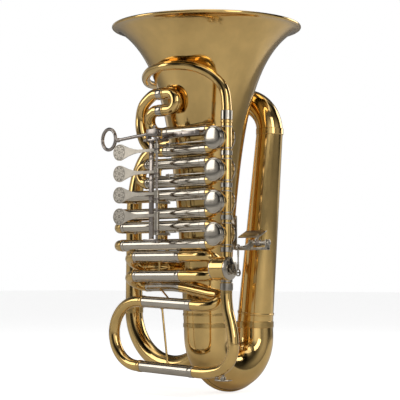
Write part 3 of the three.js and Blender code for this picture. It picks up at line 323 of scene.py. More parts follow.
# ---- A piece under construction ----
class Piece:
    """Collects the forms of one piece, then makes a single mesh object of them."""

    def __init__(self, sides=36):
        self.sides = sides
        self.runs = {}
        self.forms = []

    def tube(self, path, reach, finish, wall=0.0, sides=None):
        """A tube along a path. reach is a radius, or a function of the share of the length."""
        total = marks(path)
        radii = [reach(m / total[-1]) if callable(reach) else reach for m in total]
        self.runs.setdefault((finish, wall, sides or self.sides), []).append((path, radii))

    def ferrule(self, path, start, length, radius, finish, lift=0.8, wall=1.0):
        """A sleeve with rounded edges, round a tube of the given radius."""
        edge = min(0.9, length / 4)
        extra = [start + edge / 3, start + edge, start + length - edge, start + length - edge / 3]
        points, along = part(path, start, start + length, extra)

        def height(at):
            inset = min(at, length - at)
            return radius + 0.3 + (lift - 0.3) * math.sin(math.pi / 2 * min(1.0, inset / edge))
        key = (finish, wall, self.sides)
        self.runs.setdefault(key, []).append((points, [height(at) for at in along]))

    def rod(self, start, end, radius, finish, sides=20, soft=0.3):
        """A solid round bar with slightly rounded ends."""
        span = (end - start).length
        soft = max(0.01, min(soft, span / 3, radius / 2))
        points, along = part([start, end], 0, span, [soft / 3, soft, span - soft, span - soft / 3])
        radii = [radius - soft * (1 - math.sin(math.pi / 2 * min(1,
                                                                 min(at, span - at) / soft))) for at in along]
        self.runs.setdefault((finish, 0.0, sides), []).append((points, radii))

    def ball(self, centre, radius, finish, sides=24):
        angles = [math.pi * i / 12 for i in range(13)]
        points = [centre - vec(0, 0, radius * math.cos(a)) for a in angles]
        radii = [max(0.02, radius * math.sin(a)) for a in angles]
        self.runs.setdefault((finish, 0.0, sides), []).append((points, radii))

    def turned(self, profile, foot, axis, finish, sides=64):
        """A closed profile of (radius, height) turned about an axis."""
        form = bmesh.new()
        spin = vec(0, 0, 1).rotation_difference(axis.normalized())
        rings = []
        for radius, height in profile:
            if radius < 0.01:
                rings.append([form.verts.new((foot + spin @ vec(0, 0, height)) * MM)])
                continue
            rings.append([form.verts.new((foot + spin @ vec(
                radius * math.cos(math.tau * i / sides), radius * math.sin(math.tau * i / sides),
                height)) * MM)
                for i in range(sides)])
        pairs = list(zip(rings, rings[1:]))
        if len(rings[0]) > 1 or len(rings[-1]) > 1:
            pairs.append((rings[-1], rings[0]))
        for low, high in pairs:
            for i in range(sides):
                j = (i + 1) % sides
                corners = [low[i % len(low)], low[j % len(low)], high[j % len(high)], high[i % len(high)]]
                corners = list(dict.fromkeys(corners))
                if len(corners) > 2:
                    form.faces.new(corners)
        self.keep(form, finish)

    def block(self, low, high, finish, bevel=0.5, turn=None):
        """A box with rounded edges, turned about its middle."""
        form = bmesh.new()
        bmesh.ops.create_cube(form, size=1.0)
        size = (high - low) * MM
        middle = (low + high) * MM / 2
        for vert in form.verts:
            vert.co = Vector(a * b for a, b in zip(vert.co, size))
        if bevel:
            bmesh.ops.bevel(form, geom=form.edges[:], offset=bevel * MM, segments=2, affect="EDGES",
                            profile=0.5)
        for vert in form.verts:
            vert.co = (turn @ vert.co if turn else vert.co) + middle
        self.keep(form, finish)

    def keep(self, form, finish):
        """Takes a closed bmesh, with its faces turned outward."""
        bmesh.ops.remove_doubles(form, verts=form.verts[:], dist=1e-7)
        bmesh.ops.recalc_face_normals(form, faces=form.faces[:])
        if form.calc_volume(signed=True) < 0:
            bmesh.ops.reverse_faces(form, faces=form.faces[:])
        mesh = bpy.data.meshes.new("form")
        form.to_mesh(mesh)
        form.free()
        self.forms.append((mesh, finish))

    def sweep(self):
        """Turns the runs gathered so far into meshes."""
        for (finish, wall, sides), runs in self.runs.items():
            self.forms.append((swept(runs, finish, wall, sides), finish))
        self.runs = {}

    def cut(self, tool):
        """Cuts every form with a tool piece."""
        self.sweep()
        tool.sweep()
        cutter = holder_of(joined(tool.forms)[0], "cutter")
        for number, (mesh, finish) in enumerate(self.forms):
            holder = holder_of(mesh)
            knife = holder.modifiers.new("Cut", "BOOLEAN")
            knife.operation = "DIFFERENCE"
            knife.object = cutter
            knife.solver = "EXACT"
            knife.use_self = True
            self.forms[number] = (plain_mesh(holder), finish)
        bpy.data.objects.remove(cutter)

    def make(self, name, body, *nodes, slot="brass", crease=35):
        """Makes the object, which rides on the body and stands for the nodes."""
        self.sweep()
        mesh, finishes = joined(self.forms, math.radians(crease))
        mesh.name = name
        for finish in finishes:
            mesh.materials.append(finish)
        thing = bpy.data.objects.new(name, mesh)
        bpy.context.scene.collection.objects.link(thing)
        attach(thing, body)
        if nodes:
            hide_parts(*nodes)
        return thing


def joined(forms, crease=math.radians(35)):
    """One mesh of all the forms, its faces numbered by finish, and the list of finishes."""
    finishes = list(dict.fromkeys(finish for _, finish in forms))
    whole = bmesh.new()
    for mesh, finish in forms:
        shape = bmesh.new()
        shape.from_mesh(mesh)
        if shape.calc_volume(signed=True) < 0:
            bmesh.ops.reverse_faces(shape, faces=shape.faces[:])
        number = finishes.index(finish)
        for one in shape.faces:
            one.material_index = number
            one.smooth = True
        for edge in shape.edges:
            edge.smooth = edge.calc_face_angle(0.0) < crease
        loose = bpy.data.meshes.new("loose")
        shape.to_mesh(loose)
        shape.free()
        whole.from_mesh(loose)
        bpy.data.meshes.remove(loose)
    mesh = bpy.data.meshes.new("piece")
    whole.to_mesh(mesh)
    whole.free()
    mesh.update()
    return mesh, finishes


# ---- Finishes ----
def metal(name, light, dark, smooth, rough, coat=0.0, grain=0.02, grain_scale=600.0, spots=26.0):
    """A metal whose colour and polish drift slowly, with a fine grain under them."""
    done = bpy.data.materials.get(name)
    if done:
        return done
    finish = bpy.data.materials.new(name)
    finish.use_nodes = True
    nodes = finish.node_tree.nodes
    link = finish.node_tree.links.new
    shader = nodes["Principled BSDF"]
    shader.inputs["Metallic"].default_value = 1.0
    shader.inputs["Coat Weight"].default_value = coat
    shader.inputs["Coat Roughness"].default_value = 0.04
    place = nodes.new("ShaderNodeTexCoord")
    drift = nodes.new("ShaderNodeTexNoise")
    drift.inputs["Scale"].default_value = spots
    drift.inputs["Detail"].default_value = 3.0
    colours = nodes.new("ShaderNodeValToRGB")
    colours.color_ramp.elements[0].position = 0.35
    colours.color_ramp.elements[0].color = (*dark, 1)
    colours.color_ramp.elements[1].position = 0.65
    colours.color_ramp.elements[1].color = (*light, 1)
    polish = nodes.new("ShaderNodeMapRange")
    polish.inputs["From Min"].default_value = 0.3
    polish.inputs["From Max"].default_value = 0.7
    polish.inputs["To Min"].default_value = smooth
    polish.inputs["To Max"].default_value = rough
    wear = nodes.new("ShaderNodeTexNoise")
    wear.inputs["Scale"].default_value = spots * 5
    wear.inputs["Detail"].default_value = 5.0
    fine = nodes.new("ShaderNodeTexNoise")
    fine.inputs["Scale"].default_value = grain_scale
    fine.inputs["Detail"].default_value = 2.0
    bump = nodes.new("ShaderNodeBump")
    bump.inputs["Strength"].default_value = grain
    bump.inputs["Distance"].default_value = 0.0003
    for texture in (drift, wear, fine):
        link(place.outputs["Object"], texture.inputs["Vector"])
    link(drift.outputs["Fac"], colours.inputs["Fac"])
    link(colours.outputs["Color"], shader.inputs["Base Color"])
    link(wear.outputs["Fac"], polish.inputs["Value"])
    link(polish.outputs["Result"], shader.inputs["Roughness"])
    link(fine.outputs["Fac"], bump.inputs["Height"])
    link(bump.outputs["Normal"], shader.inputs["Normal"])
    return finish


def shade(colour, by):
    return tuple(min(1.0, c * by) for c in colour)


def brass():
    colour = bpy.context.scene.tuba_colours.brass
    return metal("Lacquered brass", shade(colour, 1.06), shade(colour, 0.92), 0.07, 0.13, coat=0.25)


def worn_brass():
    colour = bpy.context.scene.tuba_colours.brass
    return metal("Brass fittings", shade(colour, 0.98), shade(colour, 0.84), 0.12, 0.2, coat=0.2, spots=60)


def nickel():
    colour = bpy.context.scene.tuba_colours.nickel
    return metal("Polished nickel silver", shade(colour, 1.05), shade(colour, 0.93), 0.09, 0.17)


def satin_nickel():
    colour = bpy.context.scene.tuba_colours.nickel
    return metal("Satin nickel silver", shade(colour, 0.95), shade(colour, 0.8), 0.26, 0.38, grain=0.08,
                 spots=70)


def dark_nickel():
    colour = bpy.context.scene.tuba_colours.dark_nickel
    return metal("Dark nickel silver", shade(colour, 1.1), shade(colour, 0.85), 0.16, 0.28, grain=0.04,
                 spots=50)


def cork():
    return plain("Cork", (0.42, 0.25, 0.12), (0.22, 0.12, 0.05), 0.9, 420)


def plain(name, light, dark, rough, scale):
    """A dull material with speckled colour and a shallow bump."""
    done = bpy.data.materials.get(name)
    if done:
        return done
    finish = bpy.data.materials.new(name)
    finish.use_nodes = True
    nodes = finish.node_tree.nodes
    link = finish.node_tree.links.new
    shader = nodes["Principled BSDF"]
    shader.inputs["Roughness"].default_value = rough
    place = nodes.new("ShaderNodeTexCoord")
    speckle = nodes.new("ShaderNodeTexNoise")
    speckle.inputs["Scale"].default_value = scale
    colours = nodes.new("ShaderNodeValToRGB")
    colours.color_ramp.elements[0].position = 0.4
    colours.color_ramp.elements[0].color = (*dark, 1)
    colours.color_ramp.elements[1].position = 0.6
    colours.color_ramp.elements[1].color = (*light, 1)
    bump = nodes.new("ShaderNodeBump")
    bump.inputs["Strength"].default_value = 0.15
    bump.inputs["Distance"].default_value = 0.0004
    link(place.outputs["Object"], speckle.inputs["Vector"])
    link(speckle.outputs["Fac"], colours.inputs["Fac"])
    link(colours.outputs["Color"], shader.inputs["Base Color"])
    link(speckle.outputs["Fac"], bump.inputs["Height"])
    link(bump.outputs["Normal"], shader.inputs["Normal"])
    return finish


# ---- Bell and branches ----
def bell_reach(z):
    power = math.log(BELL_RADIUS / BELL_THROAT) / math.log((BELL_TOP - BOW_JOINT + BELL_FLARE) / BELL_FLARE)
    return BELL_RADIUS * (BELL_FLARE / (BELL_TOP - z + BELL_FLARE)) ** power


def bell_piece(sides):
    piece = Piece()
    top = BELL_TOP - BEAD
    heights = [mix(BOW_JOINT + GAP, top, (i / 90) ** 0.7) for i in range(91)]
    outside = [(bell_reach(z), z) for z in heights[:-1]]
    bead = []
    for i in range(17):
        angle = mix(-0.55, 0.95, i / 16) * math.pi
        bead.append((BELL_RADIUS - BEAD + BEAD * math.cos(angle), top + BEAD * math.sin(angle)))
    inside = [(bell_reach(z) - BELL_WALL, z) for z in reversed(heights[:-2])]
    piece.turned([*outside, *bead, *inside], vec(0, 0, 0), vec(0, 0, 1), brass(), sides)
    leg = line(vec(0, 0, BOW_JOINT - 4), vec(0, 0, BOW_JOINT + 60), 20)
    piece.ferrule(leg, 1, 9, bell_reach(BOW_JOINT) - 0.2, worn_brass(), lift=1.5, wall=1.4)
    piece.ferrule(leg, 24, 5, bell_reach(BOW_JOINT + 26) - 0.4, worn_brass(), lift=1.3, wall=1.2)
    return piece.make("Bell", "instrument", "bell")


BELL_FOOT = vec(0, 0, BOW_JOINT)
BRANCH_FOOT = vec(2 * BOW_RADIUS * math.cos(BOW_TURN), 2 * BOW_RADIUS * math.sin(BOW_TURN), BOW_JOINT)
SETBACK = bell_reach(TOP_BOW_Z + TOP_BOW_SPAN / 2) + BRANCH_TOP + 4
TOP_START = vec(TOP_BOW_SPAN / 2 - 2, SETBACK, TOP_BOW_Z)
TOP_END = vec(-TOP_BOW_SPAN / 2 - 2, SETBACK, TOP_BOW_Z)
REAR_FOOT = vec(-47, 90, LOWER_BOW_Z)
LEFT_FOOT = REAR_FOOT - vec(2 * LOWER_BOW_RADIUS, 0, 0)
UP = vec(0, 0, 1)
LEFT = vec(-1, 0, 0)
RIGHT = vec(1, 0, 0)


def bow_reach(t):
    return mix(BELL_THROAT, BOW_END, t)


def branch_pieces(sides):
    bow = Piece(sides)
    bow_path = half_turn(BELL_FOOT, BRANCH_FOOT, -UP, BOW_STRAIGHT, 56)
    bow.tube(bow_path, bow_reach, brass(), TUBE_WALL)
    bow.make("Bottom_bow", "instrument", "bottom_bow")

    outer = Piece(56)
    run = line(BRANCH_FOOT, TOP_START, 60)
    outer.tube(run, lambda t: mix(BOW_END, BRANCH_TOP, t), brass(), TUBE_WALL)
    length = (TOP_START - BRANCH_FOOT).length
    low = [BRANCH_FOOT - UP * 6, BRANCH_FOOT + UP * 8]
    outer.ferrule(low, 0, 13, BOW_END, worn_brass(), lift=1.6, wall=1.2)
    outer.ferrule(run, 21, 5, mix(BOW_END, BRANCH_TOP, 24 / length), worn_brass(), lift=1.3)
    high = [TOP_START - UP * 6, TOP_START + UP * 8]
    outer.ferrule(high, 0, 13, BRANCH_TOP, worn_brass(), lift=1.3, wall=1.2)
    outer.make("Outer_branch", "instrument", "outer_branch")

    top = Piece(56)
    top.tube(half_turn(TOP_START, TOP_END, UP, 0, 56), lambda t: mix(BRANCH_TOP, TOP_BOW_END, t), brass(),
             TUBE_WALL)
    top.make("Top_bow", "instrument", "top_bow")

    rear = Piece(48)
    run = line(REAR_FOOT, TOP_END, 50)
    rear.tube(run, lambda t: mix(REAR_LEG_END, TOP_BOW_END, t), brass(), TUBE_WALL)
    rear.ferrule([TOP_END - UP * 8, TOP_END + UP * 6], 0, 13, TOP_BOW_END, worn_brass(), lift=1.3, wall=1.2)
    rear.ferrule([REAR_FOOT - UP * 6, REAR_FOOT + UP * 8], 0, 13, REAR_LEG_END, worn_brass(), lift=1.3,
                 wall=1.2)
    rear.make("Rear_leg", "instrument", "rear_leg")

    lower = Piece(48)
    lower.tube(half_turn(REAR_FOOT, LEFT_FOOT, -UP, 0, 72), lambda t: mix(REAR_LEG_END, LEFT_BRANCH, t),
               brass(),
               TUBE_WALL)
    lower.make("Lower_left_bow", "instrument", "lower_left_bow")


def guard_piece():
    """A strip of half-round section along the outside of the bottom bow."""
    middle = BELL_FOOT.lerp(BRANCH_FOOT, 0.5) - UP * BOW_STRAIGHT
    across = vec(-math.sin(BOW_TURN), math.cos(BOW_TURN), 0)
    bow_path = half_turn(BELL_FOOT, BRANCH_FOOT, -UP, BOW_STRAIGHT, 80)
    total = marks(bow_path)
    form = bmesh.new()
    width, crown = 6.8, 2.2
    rings = []
    for point, mark in zip(bow_path, total):
        share = mark / total[-1]
        if not 0.3 <= share <= 0.935:
            continue
        out = point - middle
        if point.z > middle.z:
            out.z = 0
        out.normalize()
        foot = point + out * (bow_reach(share) + GAP)
        ring = []
        for i in range(9):
            side = mix(-1, 1, i / 8)
            sink = width * width * side * side / 2 / bow_reach(share)
            rise = crown * math.sqrt(max(0, 1 - side**4)) - sink + 0.3
            ring.append(foot + across * side * width + out * rise)
        ring += [foot + across * width - out * 0.5, foot - across * width - out * 0.5]
        rings.append([form.verts.new(p * MM) for p in ring])
    for a, b in zip(rings, rings[1:]):
        for i in range(len(a)):
            j = (i + 1) % len(a)
            form.faces.new((a[i], a[j], b[j], b[i]))
    form.faces.new(rings[0])
    form.faces.new(list(reversed(rings[-1])))
    piece = Piece()
    piece.keep(form, brass())
    piece.make("Bottom_bow_guard", "instrument", "bottom_bow_guard")


def left_branch_piece():
    foot = LEFT_FOOT
    rise = spline(foot + UP * GAP, foot + vec(0, 0, 100), foot + vec(1, 0, 228), foot + vec(12, 2, 285),
                  foot + vec(32, 5, 322), foot + vec(66, 8, 342))
    top = rise[-1]
    beside = -(bell_reach(MAIN_TOP) + SLIDE + 4)
    down = spline(
        top, top + vec(33, 0, 4), top + vec(68, 0, -5), top + vec(91, -3, -30), top + vec(101, -9, -75),
        vec(beside - 34, 80, MAIN_TOP + 69), vec(beside - 32, 72, MAIN_TOP + 24),
        vec(beside - 21, 58, MAIN_TOP - 5),
        vec(beside - 7, 35, MAIN_TOP - MAIN_DROP + 2), vec(beside, 5, MAIN_TOP - MAIN_DROP),
        vec(beside + 3, MAIN_BACK + 14, MAIN_TOP - MAIN_DROP), main_back(-77, MAIN_TOP),
        main_back(-80, MAIN_TOP))
    path = chain(rise, down, line(main_back(-80, MAIN_TOP), main_back(MAIN_MOUTH, MAIN_TOP)))
    total = marks(path)[-1]
    share = marks(rise)[-1] / total

    def reach(t):
        if t < share:
            return mix(LEFT_BRANCH, LEFT_BRANCH_TOP, t / share)
        return mix(LEFT_BRANCH_TOP, SLIDE, min(1, (t - share) / (0.8 - share)))
    piece = Piece(40)
    piece.tube(path, reach, brass(), SLIDE_WALL)
    piece.ferrule([foot - UP * 6, foot + UP * 8], 0, 13, LEFT_BRANCH, worn_brass(), lift=1.3)
    for at, long in ((share * total - 8, 14), (total * 0.78, 12), (total - 7, 7)):
        piece.ferrule(path, at, long, reach((at + long / 2) / total), worn_brass())
    piece.make("Left_branch", "instrument", "left_branch")


def main_back(x, z):
    return vec(x, MAIN_BACK, z - MAIN_DROP)


# ---- Valves ----
def elbow(z, sign):
    """From inside a casing to the mouth of one of its slide legs."""
    at = vec(VALVE_X, PORT_Y, z)
    return spline(at + vec(-8, 0, sign * 8), at + vec(-13.2, 0, sign * 13), at + vec(-18.6, 0, sign * 16.6),
                  at + vec(-25, 0, sign * PORT), vec(STUB_END, PORT_Y, z + sign * PORT), step=2)


def casing_piece(number):
    z = VALVE_Z[number - 1]
    piece = Piece(40)
    for sign in (1, -1):
        piece.tube(elbow(z, sign), SLIDE, brass())
    knuckle = line(vec(KNUCKLE_X, PORT_Y, z - KNUCKLE_REACH), vec(KNUCKLE_X, PORT_Y, z + KNUCKLE_REACH), 8)
    piece.tube(knuckle, KNUCKLE, brass())
    bore = Piece()
    bore.rod(vec(VALVE_X, VALVE_FRONT - 2, z), vec(VALVE_X, VALVE_BACK + 2, z), CASING_BORE, brass(), 64, 0)
    piece.cut(bore)
    for sign in (1, -1):
        path = line(vec(STUB_END + 12, PORT_Y, z + sign * PORT), vec(STUB_END - 9, PORT_Y, z + sign * PORT),
                    6)
        piece.ferrule(path, 5, 15, SLIDE, nickel(), wall=0.9)
        upright = line(vec(KNUCKLE_X, PORT_Y, z), vec(KNUCKLE_X, PORT_Y, z + sign * 40), 6)
        piece.ferrule(upright, 18.5, 3, KNUCKLE, nickel(), lift=1.2)
    if number <= 4:
        joint = line(vec(KNUCKLE_X, PORT_Y, z - 22), vec(KNUCKLE_X, PORT_Y, z - 40), 6)
        piece.ferrule(joint, 2, 9.8 if number < 4 else 9.6, KNUCKLE, nickel(), lift=1.5, wall=1.4)
    long = VALVE_BACK - VALVE_FRONT
    profile = [(4.8, 0), (21.4, 0), (22, 0.6), (22, 2.6), (21.5, 3), (21.5, long - 3), (22, long - 2.6),
               (22, long - 0.4), (21.7, long), (CASING_BORE + 0.1, long), (CASING_BORE + 0.1, 4), (4.8, 4)]
    piece.turned(profile, vec(VALVE_X, VALVE_FRONT, z), vec(0, 1, 0), brass(), 72)
    piece.make(f"Valve_casing_{number}", "instrument", f"valve_casing_{number}")


def dome_profile():
    """A cap's outer and inner outline: a skirt with two fine rings, then a shallow dome."""
    outline = [(20.2, 0), (21.6, 0), (22, 0.4), (22, 1.5), (21.5, 1.8), (21.5, 2.2), (22, 2.5), (22, 6.6),
               (21.7, 7.1),
               (21.2, 7.2), (21.2, 7.5), (21.5, 7.9), (21, 8.4), (20.2, 8.6), (20.1, 8.3), (19.6, 8.4)]
    top = [(19.4 * math.cos(math.pi / 2 * i / 14),
            8.5 + 3.0 * math.sin(math.pi / 2 * i / 14)) for i in range(15)]
    top[-1] = (0, 11.5)
    under = [(19.0 * math.cos(math.pi / 2 * i / 8),
              7.2 + 3.0 * math.sin(math.pi / 2 * i / 8)) for i in range(8, -1, -1)]
    under[0] = (0, 10.2)
    return [*outline, *top], under


def cap_piece(number):
    z = VALVE_Z[number - 1]
    outer, inner = dome_profile()
    form = Piece()
    form.turned([*outer, *inner, (20.2, 7.0)], vec(VALVE_X, VALVE_FRONT - GAP, z), vec(0, -1, 0), nickel(),
                96)
    slot = Piece()
    window = z + ARM_SIGNS[number - 1] * LINK
    slot.block(vec(VALVE_X - CASING - 5, LINK_Y - 2.4, window - 4),
               vec(VALVE_X - 12, LINK_Y + 2.4, window + 4),
               nickel(), 0)
    form.cut(slot)
    form.make(f"Valve_cap_{number}", "instrument", f"valve_cap_{number}", slot="nickel")


def knurl(piece, centre, axis, radius, rib, count, finish):
    """Ribs round an edge, placed by the rib tree. rib is (tangential, axial, radial) for an axis along Y."""
    spin = UP.rotation_difference(axis)
    corners, ways = [], []
    for i in range(count):
        angle = math.tau * i / count
        way = spin @ vec(math.cos(angle), math.sin(angle), 0)
        corners.append((centre + way * radius) * MM)
        ways += list(way)
    mesh = bpy.data.meshes.new("rib places")
    mesh.from_pydata(corners, [], [])
    mesh.attributes.new("outward", "FLOAT_VECTOR", "POINT").data.foreach_set("vector", ways)
    holder = holder_of(mesh)
    tree = rib_tree()
    ribs = holder.modifiers.new("Ribs", "NODES")
    ribs.node_group = tree
    ribs[socket_of(tree, "Rib size")] = [side * MM for side in rib]
    ribs[socket_of(tree, "Finish")] = finish
    piece.forms.append((plain_mesh(holder), finish))


def back_cover_piece(number, ribs):
    z = VALVE_Z[number - 1]
    piece = Piece()
    foot = vec(VALVE_X, VALVE_BACK + GAP, z)
    profile = [(4.6, -4), (18.6, -4), (18.6, 0), (23.4, 0), (24, 0.5), (24, 1.2), (23.5, 1.5), (24, 1.8),
               (24, 2.5),
               (23.4, 3), (10, 3), (9, 3.3), (9, 4.6), (8.5, 5), (0, 5), (0, 1.5), (4.6, 1.5)]
    piece.turned(profile, foot, vec(0, 1, 0), nickel(), 72)
    knurl(piece, foot + vec(0, 1.5, 0), vec(0, 1, 0), 23.8, (0.9, 1.8, 0.8), ribs, nickel())
    piece.make(f"Valve_back_cover_{number}", "instrument", f"valve_back_cover_{number}", slot="nickel")


# ---- Slides ----
def row(x, z):
    return vec(x, PORT_Y, z)


def slide_piece(name, node, mouths, heading, straight, insert, collar=4):
    """A U of brass with two nickel legs that run inside the fixed tubes."""
    start, end = (mouth + heading * GAP for mouth in mouths)
    piece = Piece(36)
    bow = half_turn(start, end, heading, straight, 32)
    piece.tube(bow, SLIDE, brass(), SLIDE - LEG + 0.3)
    total = marks(bow)[-1]
    for at in (0.1, total - collar - 0.1):
        piece.ferrule(bow, at, collar, SLIDE, worn_brass(), lift=0.9, wall=1.0)
    for at in (start, end):
        piece.tube([at - heading * insert, at - heading * insert * 0.5, at + heading], LEG, nickel(),
                   SLIDE_WALL)
    return piece.make(name, node, node)


def first_valve_pieces():
    top_z, low_z = VALVE_Z[0] + 92, VALVE_Z[0] + 60
    y = -(bell_reach(top_z) + SLIDE + 3)
    mouth, foot, inner = -20, -36, -32
    v1_high, v1_low = VALVE_Z[0] + PORT, VALVE_Z[0] - PORT
    big = spline(row(foot, v1_low), vec(foot - 21, PORT_Y - 1, v1_low + 4),
                 vec(foot - 38, PORT_Y - 4, v1_low + 21),
                 vec(foot - 45, PORT_Y - 7, v1_low + 46), vec(foot - 44, PORT_Y - 8, v1_low + 70),
                 vec(foot - 34, y, top_z - 19), vec(foot - 14, y, top_z - 3), vec(mouth - 22, y, top_z),
                 vec(mouth - 18, y, top_z))
    small = spline(vec(mouth - 18, y, low_z), vec(mouth - 21, y, low_z), vec(mouth - 33, y, low_z - 8),
                   vec(mouth - 39, (y + PORT_Y) / 2, low_z - 24), vec(mouth - 31, PORT_Y - 2, v1_high + 4),
                   vec(inner - 4, PORT_Y, v1_high), row(inner, v1_high))
    mouths = [vec(mouth, y, top_z), vec(mouth, y, low_z)]
    low_path = chain(line(row(STUB_END - GAP, v1_low), big[0], 20), big, [mouths[0]])
    high_path = chain(line(row(STUB_END - GAP, v1_high), small[-1], 20), list(reversed(small)), [mouths[1]])
    for name, path in (("lower", low_path), ("upper", high_path)):
        piece = Piece(36)
        total = marks(path)[-1]
        piece.tube(path, SLIDE, brass(), SLIDE_WALL)
        silver = part(path, 6, 88)[0]
        piece.tube(silver, SLIDE + 0.12, nickel(), 0.5)
        for at, long in ((86, 12), (total - 14, 14)):
            piece.ferrule(path, at, long, SLIDE, nickel())
        piece.make(f"Valve_1_{name}_tube", "instrument", f"valve_1_{name}_tube")
    slide_piece("Valve_1_slide", "valve_1_slide", mouths, RIGHT, 14, 14)


def row_pieces():
    z = VALVE_Z[1]
    mouths = [row(SECOND_MOUTH, z + PORT), row(SECOND_MOUTH, z - PORT)]
    piece = Piece(36)
    for at in mouths:
        path = line(at, row(STUB_END - GAP, at.z), 12)
        piece.tube(path, SLIDE, nickel(), SLIDE_WALL)
        piece.ferrule(path, 0.2, 7, SLIDE, nickel())
    brace(piece, row(-38, z + PORT), row(-38, z - PORT))
    piece.make("Valve_2_tubes", "instrument", "valve_2_tubes", slot="nickel")
    slide_piece("Valve_2_slide", "valve_2_slide", mouths, LEFT, 2, 40)
    for valve in (3, 4):
        z = VALVE_Z[valve - 1]
        piece = Piece(36)
        for sign in (1, -1):
            at = row(ROW_MOUTH, z + sign * PORT)
            path = line(at, row(STUB_END - GAP, at.z), 16)
            piece.tube(path, SLIDE, nickel(), SLIDE_WALL)
            piece.ferrule(path, 0.2, 7, SLIDE, nickel())
            brace(piece, row(-100, at.z), vec(-100, ROW_BACK, at.z))
        backs = [vec(-80, ROW_BACK, z + sign * PORT) for sign in (1, -1)]
        mouth_pair = [vec(ROW_MOUTH, ROW_BACK, z + sign * PORT) for sign in (1, -1)]
        path = chain([mouth_pair[0]], half_turn(*backs, RIGHT), [mouth_pair[1]])
        piece.tube(path, SLIDE, brass(), SLIDE_WALL)
        for at in (0.2, marks(path)[-1] - 7.2):
            piece.ferrule(path, at, 7, SLIDE, nickel())
        brace(piece, row(-38, z + PORT), row(-38, z - PORT))
        piece.make(f"Valve_{valve}_tubes", "instrument", f"valve_{valve}_tubes", slot="nickel")
        for name, sign in (("upper", 1), ("lower", -1)):
            at = z + sign * PORT
            slide_piece(f"Valve_{valve}_{name}_slide", f"valve_{valve}_{name}_slide",
                        [row(ROW_MOUTH, at), vec(ROW_MOUTH, ROW_BACK, at)], LEFT, 2, 40)


def brace(piece, start, end, radius=2.0, reach=SLIDE):
    """A small turned brace between two tubes, with a foot on each."""
    way = (end - start).normalized()
    a, b = start + way * (reach - 0.6), end - way * (reach - 0.6)
    piece.rod(a, b, radius, worn_brass())
    for at, out in ((a, way), (b, -way)):
        piece.rod(at, at + out * 1.8, radius + 1.8, worn_brass())


def main_slide_pieces():
    turn = 80
    corner = spline(row(38, MAIN_TOP), row(turn - 18, MAIN_TOP), vec(turn - 3, PORT_Y + 7, MAIN_TOP - 1),
                    vec(turn, PORT_Y + 23, MAIN_TOP - 9), vec(turn, PORT_Y + 28, (MAIN_TOP + MAIN_LOW) / 2),
                    vec(turn, PORT_Y + 23, MAIN_LOW + 9), vec(turn - 3, PORT_Y + 7, MAIN_LOW + 1),
                    row(turn - 18, MAIN_LOW), row(38, MAIN_LOW), step=2.5)
    path = chain(line(row(MAIN_MOUTH, MAIN_TOP), row(38, MAIN_TOP), 16), corner,
                 line(row(38, MAIN_LOW), row(MAIN_MOUTH, MAIN_LOW), 16))
    total = marks(path)[-1]
    piece = Piece(36)
    piece.tube(path, SLIDE, brass(), SLIDE_WALL)
    for at in (0, total - 108):
        piece.tube(part(path, at, at + 108)[0], SLIDE + 0.15, nickel(), 0.5)
    for at in (106, total - 116):
        piece.ferrule(path, at, 10, SLIDE, nickel())
    for at in (0.2, total - 7.2):
        piece.ferrule(path, at, 7, SLIDE, nickel())
    brace(piece, row(-40, MAIN_TOP), row(-40, MAIN_LOW))
    brace(piece, row(-20, MAIN_TOP), row(-20, VALVE_Z[3] - PORT))
    piece.make("Main_slide_rows", "instrument", "main_slide_rows", slot="nickel")
    for name, z, insert in (("upper", MAIN_TOP, 14), ("lower", MAIN_LOW, 30)):
        slide_piece(f"Main_slide_{name}_bow", f"main_slide_{name}_bow",
                    [row(MAIN_MOUTH, z), main_back(MAIN_MOUTH, z)],
                    LEFT, 2, insert)


def around_bell(angle, z):
    turn = math.radians(angle)
    reach = bell_reach(z + 7.4) + 12.4
    return vec(reach * math.cos(turn), reach * math.sin(turn), z)


def leadpipe_piece():
    foot = vec(KNUCKLE_X, PORT_Y, VALVE_Z[0] + KNUCKLE_REACH + GAP)
    z = VALVE_Z[0]
    path = spline(
        around_bell(152, 606), around_bell(172, 605), around_bell(195, 603), around_bell(212, 604),
        around_bell(230, 610), around_bell(250, 617), around_bell(271, 620), around_bell(288, 618.5),
        vec(foot.x - 51, PORT_Y - 17, z + 131), vec(foot.x - 23, PORT_Y - 5, z + 113),
        vec(foot.x - 6, PORT_Y, z + 91),
        vec(foot.x, PORT_Y, z + 64), foot)
    piece = Piece(36)
    piece.tube(path, lambda t: mix(7.4, 9.6, t), brass(), SLIDE_WALL)
    total = marks(path)[-1]
    piece.ferrule(path, total - 24, 18, 9.6, nickel(), lift=1.4, wall=1.4)
    piece.ferrule(path, total - 5.6, 5.4, 9.8, worn_brass(), lift=1.4, wall=1.4)
    heading = (path[0] - path[1]).normalized()
    profile = [(6.4, 46), (9.3, 46), (10, 45.3), (10, 39), (9, 38), (8.8, 10), (9.6, 8.6), (9.6, 4),
               (8.6, 2.6),
               (8.2, -3), (6.4, -3)]
    piece.turned(profile, path[0], heading, nickel(), 48)
    piece.make("Leadpipe", "instrument", "leadpipe")


